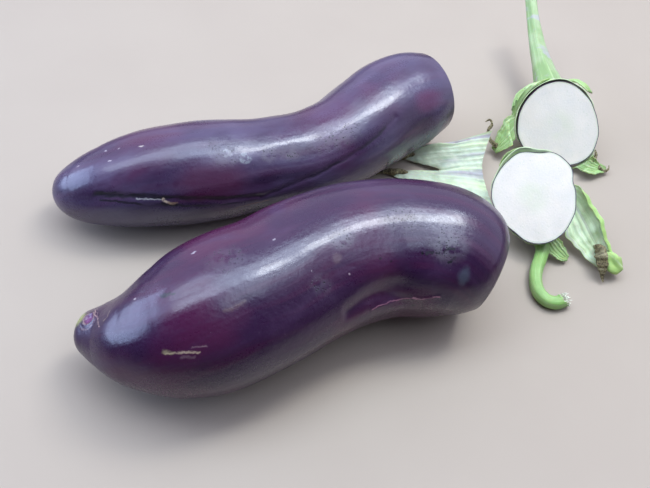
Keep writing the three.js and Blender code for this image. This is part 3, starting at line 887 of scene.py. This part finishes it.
def fruit_relief(fruit, distance, degrees, radius):
    """How far the skin stands out from the plain turned body, in millimetres."""
    total = np.zeros(np.broadcast(distance, degrees).shape)
    for (at, angle), length, width, height in fruit["swells"]:
        total += height * bell(distance - at, length) * bell(turn_between(degrees, angle), width)
    round_mm = np.radians(degrees) * radius
    radius_at = radius_function(fruit)
    for route, width, depth in fruit["folds"]:
        total -= depth * bell(route_distance(route, distance, round_mm, radius_at), width)
    (at, angle), scar_radius, scar_depth = fruit["scar"]
    gap = np.hypot(distance - at, np.radians(turn_between(degrees, angle)) * radius)
    total -= scar_depth * smooth_step(gap, scar_radius, scar_radius * 0.45)
    total += 0.4 * bell(gap - scar_radius * 1.15, 0.9)
    total += 0.14 * bell(gap - scar_radius * 1.75, 0.6)
    turning = np.radians(degrees)
    around = places_of(distance, 20 * np.cos(turning), 20 * np.sin(turning))
    total += 0.22 * ripple(around, 26, fruit["seed"])
    total += 0.07 * ripple(around * [0.25, 1, 1], 7, fruit["seed"] + 1)
    return total * smooth_step(distance, 0, 9) - SKIN_INSET * smooth_step(distance, 0, 2.5)


def build_fruit(name, fruit, skin, flesh):
    """A fruit from its blossom end to its cut, with the rings closer together near the blossom end."""
    shares = np.linspace(0, 1, FRUIT_RINGS)[1:] ** 1.25
    middle, _, side, above, _ = along_line(fruit["axis"], shares)
    full_length = fruit["girth"][-1][0]
    distance = (shares * full_length)[:, None]
    degrees = np.linspace(-180, 180, FRUIT_SIDES + 1)[None, :]
    radius = radius_function(fruit)(distance)
    relief = fruit_relief(fruit, distance, degrees, radius)[:, :-1]
    turning = np.radians(degrees[:, :-1])
    points = on_table(around_line(middle, side, above, turning, radius + relief))
    places = places_of(distance, np.radians(degrees) * radius)
    shape = Shape()
    index = shape.grid(points, places, closed=True)
    tip = spline(fruit["axis"], np.array(0.0))
    shape.fan(index[0], tip, (0, 0, 0))
    add_cut_face(shape, index[-1], points[-1], middle[-1], fruit["seed"])
    return shape.finish(name + "_look", "skin", skin, flesh, sharp=48)


CUT_RINGS = [0.94, 0.88, 0.8, 0.7, 0.6, 0.5, 0.4, 0.3, 0.2, 0.1]


def add_cut_face(shape, loop, rim, centre, seed):
    """A knife cut across a fruit: a thin edge of skin, then flesh to the middle, slightly dished."""
    spokes = rim - centre
    radius = np.linalg.norm(spokes, axis=1).mean()
    inward = unit(np.cross(spokes[len(rim) // 4], spokes[0]))
    shares = np.array([1 - SKIN_EDGE / radius, *CUT_RINGS])
    rows = centre + shares[:, None, None] * spokes[None]
    dish = 0.3 * (1 - shares[:, None] ** 2) + 0.1 * ripple(rows, 9, seed) * (1 - shares[:, None] ** 8)
    rows = rows + dish[..., None] * inward
    degrees = np.linspace(0, 360, len(rim) + 1)
    places = places_of(shares[:, None], degrees[None])
    index = shape.grid(rows, places, closed=True, slot=1)
    shape.bridge(loop, index[0], slot=0)
    shape.fan(index[-1], rows[-1].mean(axis=0), (0, 0, 0), slot=1)


# ---- the sliced tops -----------------------------------------------------------------


TOP_TURNS = 180
FACE_DISH = 0.25  # how far the cut face of a top sinks inside its rim
SHOULDER_END = 87  # degrees up the shoulder, where the closing fan begins


def top_frame(top):
    azimuth, elevation = math.radians(top["azimuth"]), math.radians(top["elevation"])
    level = np.array([math.cos(azimuth), math.sin(azimuth), 0]) * math.cos(elevation)
    outward = level + UP * math.sin(elevation)
    right = unit(np.cross(UP, outward))
    return outward, right, np.cross(outward, right)


def on_top(top, degrees, reach, depth):
    """Points of a top: reach out from its middle at degrees round, depth behind the cut."""
    outward, right, up = top_frame(top)
    lean_right, lean_up = (amount * (depth / top["height"]) ** 2 for amount in top["lean"])
    turning = np.radians(degrees)
    across = reach * np.cos(turning) + lean_right
    rise = reach * np.sin(turning) + lean_up
    offsets = across[..., None] * right + rise[..., None] * up - depth[..., None] * outward
    return on_table(np.array(top["centre"]) + offsets)


def top_middle(top, depth):
    return on_top(top, np.array(0.0), np.array(0.0), np.array(depth))


def outside_top(points, top):
    """Moves what would lie inside a top, or in front of its rim, out to the calyx round it."""
    outward, right, up = top_frame(top)
    offsets = points - np.array(top["centre"])
    depth = -(offsets @ outward)
    part = np.clip(depth / top["height"], 0, 1) ** 2
    across = offsets @ right - top["lean"][0] * part
    rise = offsets @ up - top["lean"][1] * part
    reach = np.maximum(np.hypot(across, rise), 1e-6)
    rim = round_spline(top["rim"], np.degrees(np.arctan2(rise, across))) + LEAF_OFF_TOP
    shell = top["height"] + LEAF_OFF_TOP
    near_rim = reach < rim + 2.5
    depth = np.where(near_rim, np.maximum(depth, LEAF_BEHIND_CUT), depth)
    inside = np.hypot(reach / rim, depth / shell)
    stretch = np.where((inside < 1) & (depth > 0), 1 / np.maximum(inside, 0.3), 1)
    across, rise, depth = across * stretch, rise * stretch, depth * stretch
    part = np.clip(depth / top["height"], 0, 1) ** 2
    across, rise = across + top["lean"][0] * part, rise + top["lean"][1] * part
    moved = across[..., None] * right + rise[..., None] * up - depth[..., None] * outward
    return np.array(top["centre"]) + moved


def build_top_flesh(name, top, skin, flesh):
    """The slice itself: a flat cut face with a fine edge of skin, and a rounded shoulder behind."""
    degrees = np.linspace(0, 360, TOP_TURNS + 1)
    rim = round_spline(top["rim"], degrees)
    rim_noise = 0.08 * np.sin(np.radians(degrees * 9)) + 0.06 * np.sin(np.radians(degrees * 14 + 40))
    rim = rim + rim_noise
    shape = Shape()
    shares = np.array([0.1, 0.2, 0.3, 0.4, 0.5, 0.6, 0.7, 0.8, 0.87, 0.92, 0.96])
    reach = shares[:, None] * rim[None, :-1]
    reach = np.vstack([reach, rim[None, :-1] - TOP_SKIN_EDGE])
    shares = np.append(shares, 0.985)
    flat = places_of(reach * np.cos(np.radians(degrees[:-1])), reach * np.sin(np.radians(degrees[:-1])))
    depth = FACE_DISH + 0.12 * ripple(flat, 12, top["seed"]) - 0.2 * shares[:, None] ** 6
    depth = np.maximum(depth, 0.02)
    around = np.broadcast_to(degrees[None, :-1], reach.shape)
    places = places_of(shares[:, None], degrees[None])
    face = shape.grid(on_top(top, around, reach, depth), places, closed=True, slot=1)
    shape.fan(face[0], top_middle(top, FACE_DISH), (0, 0, 0), 1)
    climbs = np.radians(np.array([0, 1.5, 4, 8, 14, 20, 27, 34, 42, 50, 58, 66, 74, 82, SHOULDER_END]))
    reach = np.cos(climbs)[:, None] * rim[None, :-1]
    reach[0] -= 0.15
    depth = np.broadcast_to(top["height"] * np.sin(climbs)[:, None], reach.shape)
    around = np.broadcast_to(degrees[None, :-1], reach.shape)
    places = places_of(top["height"] * climbs[:, None], np.radians(degrees)[None] * rim[None])
    back = shape.grid(on_top(top, around, reach, depth), places, closed=True)
    shape.bridge(face[-1], back[0], slot=0)
    shape.fan(back[-1], top_middle(top, float(top["height"])), (20, 0, 0), 0)
    return shape.finish(name + "_look", "flesh", skin, flesh, sharp=40)


def build_top_calyx(name, top, calyx):
    """The green cup over the shoulder, thick at the stem and thin at its lobed edge."""
    degrees = np.linspace(0, 360, TOP_TURNS + 1)[:-1]
    rim = round_spline(top["rim"], degrees)
    edge = round_spline(top["edge"], degrees) + 2.0 * np.sin(np.radians(degrees * 5 + 20)) ** 3
    edge = edge + 1.2 * np.sin(np.radians(degrees * 13 + top["seed"]))
    flare = round_spline(top["flare"], degrees)
    climbs = np.linspace(0, 1, 26)[:, None]
    angle = np.radians(edge[None] + climbs * (SHOULDER_END - edge[None]))
    ribs = 0.35 * np.cos(np.radians(degrees * 15))[None] * smooth_step(climbs, 0.05, 0.5)
    bumps = 0.25 * ripple(places_of(degrees[None] / 9, climbs * 14), 5, top["seed"])
    wall = 0.35 + 1.1 * smooth_step(climbs, 0, 0.35) + ribs + bumps * smooth_step(climbs, 0, 0.2)
    standing = flare[None] * (1 - smooth_step(climbs, 0, 0.32))
    shape = Shape()
    loops = []
    for thickness, rows in ((wall, climbs), (0 * wall, climbs)):
        out = CALYX_GAP + thickness + standing
        reach = (rim[None] + out) * np.cos(angle)
        depth = (top["height"] + CALYX_GAP + thickness) * np.sin(angle)
        around = np.broadcast_to(degrees[None], reach.shape)
        places = places_of(np.append(degrees, 360)[None] / 9, rows)
        loops.append(shape.grid(on_top(top, around, reach, depth), places, closed=True))
    shape.bridge(loops[0][0], loops[1][0])
    for loop, thickness in zip(loops, (1.3, 0.0)):
        shape.fan(loop[-1], top_middle(top, top["height"] + CALYX_GAP + thickness), (0, 1, 0))
    return shape.finish(name + "_look", "calyx", calyx, sharp=60)


# ---- stems ---------------------------------------------------------------------------


STEM_SIDES = 72
STEM_RINGS = 120
FIBRE_COUNT = 48
FIBRE_RADII = [0.42, 0.32, 0.1]  # at the foot, the middle and the tip of a torn thread


def build_stem(name, stem, green, fibre):
    """A ribbed stem, wide where it joins the calyx; the free end is cut or torn."""
    shares = np.linspace(0, 1, STEM_RINGS)
    middle, along, side, above, length = along_line(stem["axis"], shares)
    girth = spline(stem["girth"], np.linspace(0, 1, 400), reflected=False)
    radius = np.interp(shares, girth[:, 0], girth[:, 1])[:, None]
    degrees = np.linspace(0, 360, STEM_SIDES + 1)[None]
    turning = np.radians(degrees[:, :-1])
    twist = shares[:, None] * 0.5
    ribs = stem["rib_height"] * np.abs(np.cos(stem["ribs"] / 2 * (turning + twist))) ** 3
    ribs = ribs * (0.5 + radius / 6)
    around = places_of(shares[:, None] * length * 0.4, 5 * np.cos(turning), 5 * np.sin(turning))
    bumps = 0.12 * ripple(around, 6, stem["seed"])
    reach = radius - 0.2 + ribs + bumps
    points = around_line(middle, side, above, turning, reach)
    if stem["torn"]:
        random = np.random.default_rng(stem["seed"])
        ragged = random.uniform(-1.2, 0.3, STEM_SIDES)
        oblique = -2.4 * np.cos(turning[0] + 0.3)
        fray = smooth_step(shares, 0.93, 1)[:, None] * (ragged + oblique)[None]
        points += fray[..., None] * along[:, None]
    shape = Shape()
    index = shape.grid(on_table(points), places_of(shares[:, None] * length, degrees), closed=True)
    shape.fan(index[0], middle[0], (0, 0, 0))
    pith = middle[-1] + 0.75 * (points[-1] - middle[-1]) - 0.5 * along[-1]
    core = middle[-1] + 0.4 * (points[-1] - middle[-1]) - 0.2 * along[-1]
    rows = on_table(np.stack([pith, core]))
    inner = shape.grid(rows, places_of(np.array([[0.7], [0.4]]), degrees), closed=True, slot=1)
    shape.bridge(index[-1], inner[0], slot=1)
    shape.fan(inner[-1], middle[-1] - 0.1 * along[-1], (0, 0, 0), slot=1)
    if stem["torn"]:
        add_fibres(shape, middle[-1], along[-1], side[-1], above[-1], radius[-1, 0], stem["seed"])
    return shape.finish(name + "_look", "stem", green, fibre, sharp=60)


def add_fibres(shape, centre, along, side, above, radius, seed):
    """Short torn threads standing out of the broken end."""
    random = np.random.default_rng(seed + 100)
    for _ in range(FIBRE_COUNT):
        turn = random.uniform(0, 2 * math.pi)
        out = radius * math.sqrt(random.uniform(0.02, 0.8))
        foot = centre + out * (math.sin(turn) * side + math.cos(turn) * above) - 0.9 * along
        lean = 0.45 * random.normal(size=3)
        reach = random.uniform(1.4, 2.6)
        line = [foot, foot + reach * 0.5 * along + 0.3 * lean, foot + reach * along + lean]
        add_curl(shape, (line, FIBRE_RADII, 0), seed, sides=6, rows=6)


def add_curl(shape, curl, seed, slot=1, sides=14, rows=44, layer=0):
    """A thin closed tube with a ridged surface, ringed and crumpled where curl has rings."""
    line, radii, ring_count = curl
    shares = np.linspace(0, 1, rows)
    middle, _, side, above, _ = steady_frames(np.array(line, float), shares)
    radius = spline(np.array(radii)[:, None], shares)[:, 0][:, None]
    radius = np.maximum(radius, 0.08)
    degrees = np.linspace(0, 360, sides + 1)[None]
    turning = np.radians(degrees[:, :-1])
    share = shares[:, None]
    rings = 0.1 * np.sin(share * ring_count * 2 * math.pi + 1.6 * np.sin(turning + seed))
    ridges = 0.17 * np.sin(turning * 3 + share * 5) + 0.1 * np.sin(turning * 5 - share * 9)
    crumple = 0.14 * ripple(places_of(share * 9, np.cos(turning) * 2, np.sin(turning) * 2), 2.4, seed)
    reach = radius * (1 + (rings + crumple) * (ring_count > 0) + ridges)
    points = on_table(around_line(middle, side, above, turning, reach))
    shape.tube(points, places_of(shares[:, None], degrees / 360, layer), slot)


# ---- leaves --------------------------------------------------------------------------


ROLL_FROM = 0.62  # share of the half width at which an edge starts to roll over
SEPAL_ROWS, SEPAL_COLUMNS = 90, 61
LOOSE_ROWS, LOOSE_COLUMNS = 110, 150


def leaf_section(across, share, leaf):
    """The cross-section of a leaf at each share of its length: how far out, and how far up."""
    left_roll, right_roll = (math.radians(r) for r in leaf["roll"])
    rolled = smooth_step(share, 0.02, 0.3)
    bend = math.radians(leaf["cup"]) * across
    bend = bend + right_roll * rolled * smooth_step(across, ROLL_FROM, 1.0)
    bend = bend - left_roll * rolled * smooth_step(-across, ROLL_FROM, 1.0)
    step = np.diff(across, axis=1)
    half = across.shape[1] // 2
    out_steps = (np.cos(bend[:, 1:]) + np.cos(bend[:, :-1])) / 2 * step
    up_steps = (np.sin(bend[:, 1:]) + np.sin(bend[:, :-1])) / 2 * step
    out = np.concatenate([np.zeros((len(across), 1)), np.cumsum(out_steps, axis=1)], axis=1)
    rise = np.concatenate([np.zeros((len(across), 1)), np.cumsum(up_steps, axis=1)], axis=1)
    return out - out[:, half:half + 1], rise - rise[:, half:half + 1]


def build_sepal(name, leaf, green, dried):
    """A leaf of a calyx: it starts at the cup, and its edges cup, roll and wave."""
    share = np.linspace(0, 1, SEPAL_ROWS)[:, None]
    across = np.broadcast_to(np.linspace(-1, 1, SEPAL_COLUMNS)[None], (SEPAL_ROWS, SEPAL_COLUMNS))
    middle, along, _, _, length = along_line(leaf["line"], share[:, 0])
    foot, tip = np.array(leaf["facing"], float)
    looks = foot + (tip - foot) * share
    side = unit(np.cross(looks, along))
    face = np.cross(along, side)
    outline = spline(leaf["widths"], np.linspace(0, 1, 500), reflected=False)
    half_width = np.interp(share, outline[:, 0], outline[:, 1])
    ragged = 1 + 0.05 * np.sin(share * 19 + leaf["seed"]) + 0.03 * np.sin(share * 47 + leaf["seed"] * 2)
    half_width = half_width * np.where(np.abs(across) > 0, ragged, 1)
    out, rise = leaf_section(across, share, leaf)
    flat = places_of(share * length, across * half_width)
    veins = np.abs(np.sin(across * leaf["veins"] * math.pi / 2)) ** 6
    height = 0.32 * veins * (1 - smooth_step(np.abs(across), 0.8, 1))
    height = height + leaf["wave"] * ripple(flat, 11, leaf["seed"]) * (0.3 + 0.7 * np.abs(across))
    height = height + 0.12 * ripple(flat, 3.4, leaf["seed"] + 1)
    rise = rise * half_width + height
    sheet = middle[:, None] + (out * half_width)[..., None] * side[:, None]
    sheet = sheet + rise[..., None] * face[:, None]
    sheet = outside_top(sheet, FRONT_TOP if name.startswith("front") else REAR_TOP)
    edge_share = np.maximum(np.abs(across), 1 - 8 * np.minimum(share, 1 - share))
    thickness = LEAF_RIM + (LEAF_THICKNESS - LEAF_RIM) * (1 - edge_share**4)
    normal = surface_normals(sheet)
    upper = on_table(sheet + thickness[..., None] / 2 * normal)
    lower = on_table(sheet - thickness[..., None] / 2 * normal)
    shape = Shape()
    shape.leaf(upper, lower, places_of(share, across))
    for curl in leaf["curls"]:
        add_curl(shape, curl, leaf["seed"])
    if "bulb" in leaf:
        add_curl(shape, leaf["bulb"], leaf["seed"], slot=0, sides=28, layer=1)
    return shape.finish(name + "_look", "sepal", green, dried, sharp=70)


def surface_normals(sheet):
    """The way each point of a grid of points faces."""
    along = np.gradient(sheet, axis=0)
    across = np.gradient(sheet, axis=1)
    return unit(np.cross(along, across))


def build_loose_leaf(name, leaf, green, dried):
    """The cut-off piece of calyx, stretched between its cut edge and its leaf points."""
    towards_points = np.linspace(0, 1, LOOSE_ROWS)[:, None]
    across = np.linspace(0, 1, LOOSE_COLUMNS)[None]
    cut = spline(leaf["cut_edge"], across[0])
    points = spline(leaf["points"], across[0])
    sheet = cut[None] + (points - cut)[None] * towards_points[..., None]
    flat = places_of(sheet[..., 0], sheet[..., 1])
    veins = np.abs(np.sin(across * 17 * math.pi)) ** 5 * (1 - 0.7 * towards_points)
    crease = -1.6 * bell(across - 0.42, 0.035) * smooth_step(towards_points, 0.35, 0.9)
    fold = 2.4 * bell(across - 0.1, 0.07) * smooth_step(towards_points, 0.45, 0.8)
    waves = 0.7 * ripple(flat, 17, leaf["seed"]) + 0.12 * ripple(flat, 4, leaf["seed"] + 1)
    lift = 0.34 * veins + crease + fold + waves
    sheet[..., 2] += lift * smooth_step(np.minimum(across, 1 - across), 0.0, 0.04)
    from_side = np.minimum(across, 1 - across)
    from_edge = 8 * np.minimum(from_side, np.minimum(towards_points, 1 - towards_points))
    thickness = LEAF_RIM + (LEAF_THICKNESS - LEAF_RIM) * smooth_step(from_edge, 0, 1)
    normal = surface_normals(sheet)
    normal *= np.sign(normal[..., 2:3])
    sheet[..., 2] = np.maximum(sheet[..., 2], thickness / 2)
    shape = Shape()
    places = places_of(towards_points, across * 2 - 1)
    upper = on_table(sheet + thickness[..., None] / 2 * normal)
    lower = on_table(sheet - thickness[..., None] / 2 * normal)
    shape.leaf(upper, lower, places)
    for curl in leaf["curls"]:
        add_curl(shape, curl, leaf["seed"])
    return shape.finish(name + "_look", "sepal", green, dried, sharp=70)


# ---- camera, floor and light ---------------------------------------------------------

CAMERA_BACK = 249.8
CAMERA_HEIGHT = 331.4
CAMERA_TILT = 53  # degrees below the horizon
CAMERA_ROLL = 10
FOCAL_MM = 45.4
SENSOR_MM = 36
FLOOR_HALF = 6.0  # metres from the middle of the floor to its sides
FLOOR_DROP = 0.0002


def to_part(x, y, z):
    return (np.array([x, y, z]) - PART_ORIGIN) * MM


def make_camera():
    data = bpy.data.cameras.new("camera")
    data.lens = FOCAL_MM
    data.sensor_width = SENSOR_MM
    data.clip_start = 0.01
    camera = add_object("camera", data)
    camera.location = to_part(0, -CAMERA_BACK, CAMERA_HEIGHT)
    tilt = Matrix.Rotation(math.radians(90 - CAMERA_TILT), 3, "X")
    roll = Matrix.Rotation(math.radians(CAMERA_ROLL), 3, "Z")
    camera.rotation_mode = "QUATERNION"
    camera.rotation_quaternion = (tilt @ roll).to_quaternion()
    bpy.context.scene.camera = camera


def make_floor():
    """A plain pale floor. Far from the part it is dark in reflections, as an unlit room would be."""
    mesh = bpy.data.meshes.new("floor")
    corners = [(x * FLOOR_HALF, y * FLOOR_HALF, 0) for x, y in ((-1, -1), (1, -1), (1, 1), (-1, 1))]
    mesh.from_pydata(corners, [], [(0, 1, 2, 3)])
    floor = add_object("floor", mesh)
    floor.location.z = -FLOOR_DROP
    paint = Paint("floor_pale")
    grain = paint.noise(60, 4)
    paint.colour = paint.mix(grain, (0.35, 0.3, 0.255), (0.38, 0.33, 0.28))
    mirrored = paint.node("ShaderNodeLightPath").outputs["Is Glossy Ray"]
    afar = paint.ramp(paint.vector("LENGTH", paint.metres), 0.14, 0.3)
    paint.lay(paint.times(mirrored, afar), (0.02, 0.02, 0.02))
    mesh.materials.append(paint.finish(0.75, paint.bump(grain, 0.02), Specular_IOR_Level=0.2))


def soft_light(name, centre, size, radiance, colour, long_side):
    """A rectangular lamp as bright as radiance says, at centre and aimed at the part, in metres."""
    data = bpy.data.lights.new(name, "AREA")
    data.shape = "RECTANGLE"
    data.size, data.size_y = size
    data.energy = radiance * math.pi * size[0] * size[1]
    data.color = colour
    lamp = add_object(name, data)
    lamp.location = centre
    back = Vector(centre).normalized()
    across = Vector(long_side)
    across = (across - across.dot(back) * back).normalized()
    lamp.rotation_mode = "QUATERNION"
    lamp.rotation_quaternion = Matrix((across, back.cross(across), back)).transposed().to_quaternion()
    lamp.visible_camera = False


LAMP_COLOUR = (0.76, 0.89, 1.0)
WARM_COLOUR = (1.0, 1.0, 0.94)
WINDOW_COLOUR = (0.55, 0.7, 1.0)
STRIP_TURN = math.radians(27)
CROSS_TURN = math.radians(-62)
SKY_RADIANCE = 1.2
ROOM_RADIANCE = 0.07


def make_world():
    """Soft sky light from behind and above, a dim room in front, and a pale backdrop."""
    world = bpy.data.worlds.new("studio")
    bpy.context.scene.world = world
    world.use_nodes = True
    nodes, links = world.node_tree.nodes, world.node_tree.links
    sky = nodes["Background"]
    sky.inputs["Color"].default_value = (0.8, 0.79, 1.0, 1)
    split = nodes.new("ShaderNodeSeparateXYZ")
    links.new(nodes.new("ShaderNodeTexCoord").outputs["Generated"], split.inputs[0])
    reach = nodes.new("ShaderNodeMapRange")
    reach.interpolation_type = "SMOOTHSTEP"
    links.new(split.outputs["Y"], reach.inputs[0])
    for socket, number in zip(list(reach.inputs)[1:5], (-0.5, 0.05, ROOM_RADIANCE, SKY_RADIANCE)):
        socket.default_value = number
    links.new(reach.outputs[0], sky.inputs["Strength"])
    backdrop = nodes.new("ShaderNodeBackground")
    backdrop.inputs["Color"].default_value = (0.82, 0.84, 0.86, 1)
    seen = nodes.new("ShaderNodeLightPath")
    choose = nodes.new("ShaderNodeMixShader")
    links.new(seen.outputs["Is Camera Ray"], choose.inputs[0])
    links.new(sky.outputs[0], choose.inputs[1])
    links.new(backdrop.outputs[0], choose.inputs[2])
    links.new(choose.outputs[0], nodes["World Output"].inputs["Surface"])


def make_light():
    slanted = (math.cos(STRIP_TURN), math.sin(STRIP_TURN), 0)
    soft_light("overhead_strip", (-0.12, 0.14, 0.9), (1.5, 0.4), 5.6, LAMP_COLOUR, slanted)
    soft_light("overhead_spot", (0.31, 0.27, 0.88), (0.34, 0.2), 15.0, WARM_COLOUR, slanted)
    soft_light("window_left", (-0.95, -0.16, 0.3), (0.9, 0.6), 5.0, WINDOW_COLOUR, (0, 1, 0))
    crossed = (math.cos(CROSS_TURN), math.sin(CROSS_TURN), 0)
    soft_light("overhead_low", (0.27, -0.1, 0.88), (0.7, 0.34), 3.2, LAMP_COLOUR, crossed)
    make_world()
    bpy.context.scene.view_settings.view_transform = "Standard"


# ---- the scene -----------------------------------------------------------------------

INNER_PALE = (0.66, 0.8, 0.56)
MID_GREEN = (0.3, 0.46, 0.18)
OUTER_GREEN = (0.34, 0.52, 0.16)


def build_everything():
    """Every piece of the part, each over the CAD node of the same name."""
    flesh = flesh_material()
    front_skin = skin_material("front_skin", FRONT_EGGPLANT, FRONT_MARKS)
    rear_skin = skin_material("rear_skin", REAR_EGGPLANT, REAR_MARKS)
    calyx = calyx_material()
    dried = dried_material()
    fibre = fibre_material()
    build_fruit("front_eggplant", FRONT_EGGPLANT, front_skin, flesh)
    build_fruit("rear_eggplant", REAR_EGGPLANT, rear_skin, flesh)
    build_top_flesh("front_top_flesh", FRONT_TOP, rear_skin, flesh)
    build_top_flesh("rear_top_flesh", REAR_TOP, rear_skin, flesh)
    build_top_calyx("front_top_calyx", FRONT_TOP, calyx)
    build_top_calyx("rear_top_calyx", REAR_TOP, calyx)
    bright = stem_material("stem_bright", (0.2, 0.38, 0.1), (0.27, 0.46, 0.15), 0.0)
    blushed = stem_material("stem_blushed", (0.22, 0.34, 0.14), (0.31, 0.41, 0.22), 0.55)
    build_stem("front_top_stem", FRONT_STEM, bright, fibre)
    build_stem("rear_top_stem", REAR_STEM, blushed, fibre)
    pale = sepal_material("sepal_pale", INNER_PALE, OUTER_GREEN, 0.4, 1.2)
    green = sepal_material("sepal_green", MID_GREEN, OUTER_GREEN, 0.2, 1.08)
    for name, leaf in SEPALS.items():
        build_sepal(name, leaf, pale if name == "front_top_sepal_long" else green, dried)
    loose = sepal_material("sepal_loose", (0.5, 0.58, 0.45), (0.36, 0.46, 0.28), 0.6, 1.06)
    build_loose_leaf("loose_calyx_leaf", LOOSE_LEAF, loose, dried)


make_camera()
make_floor()
make_light()
build_everything()
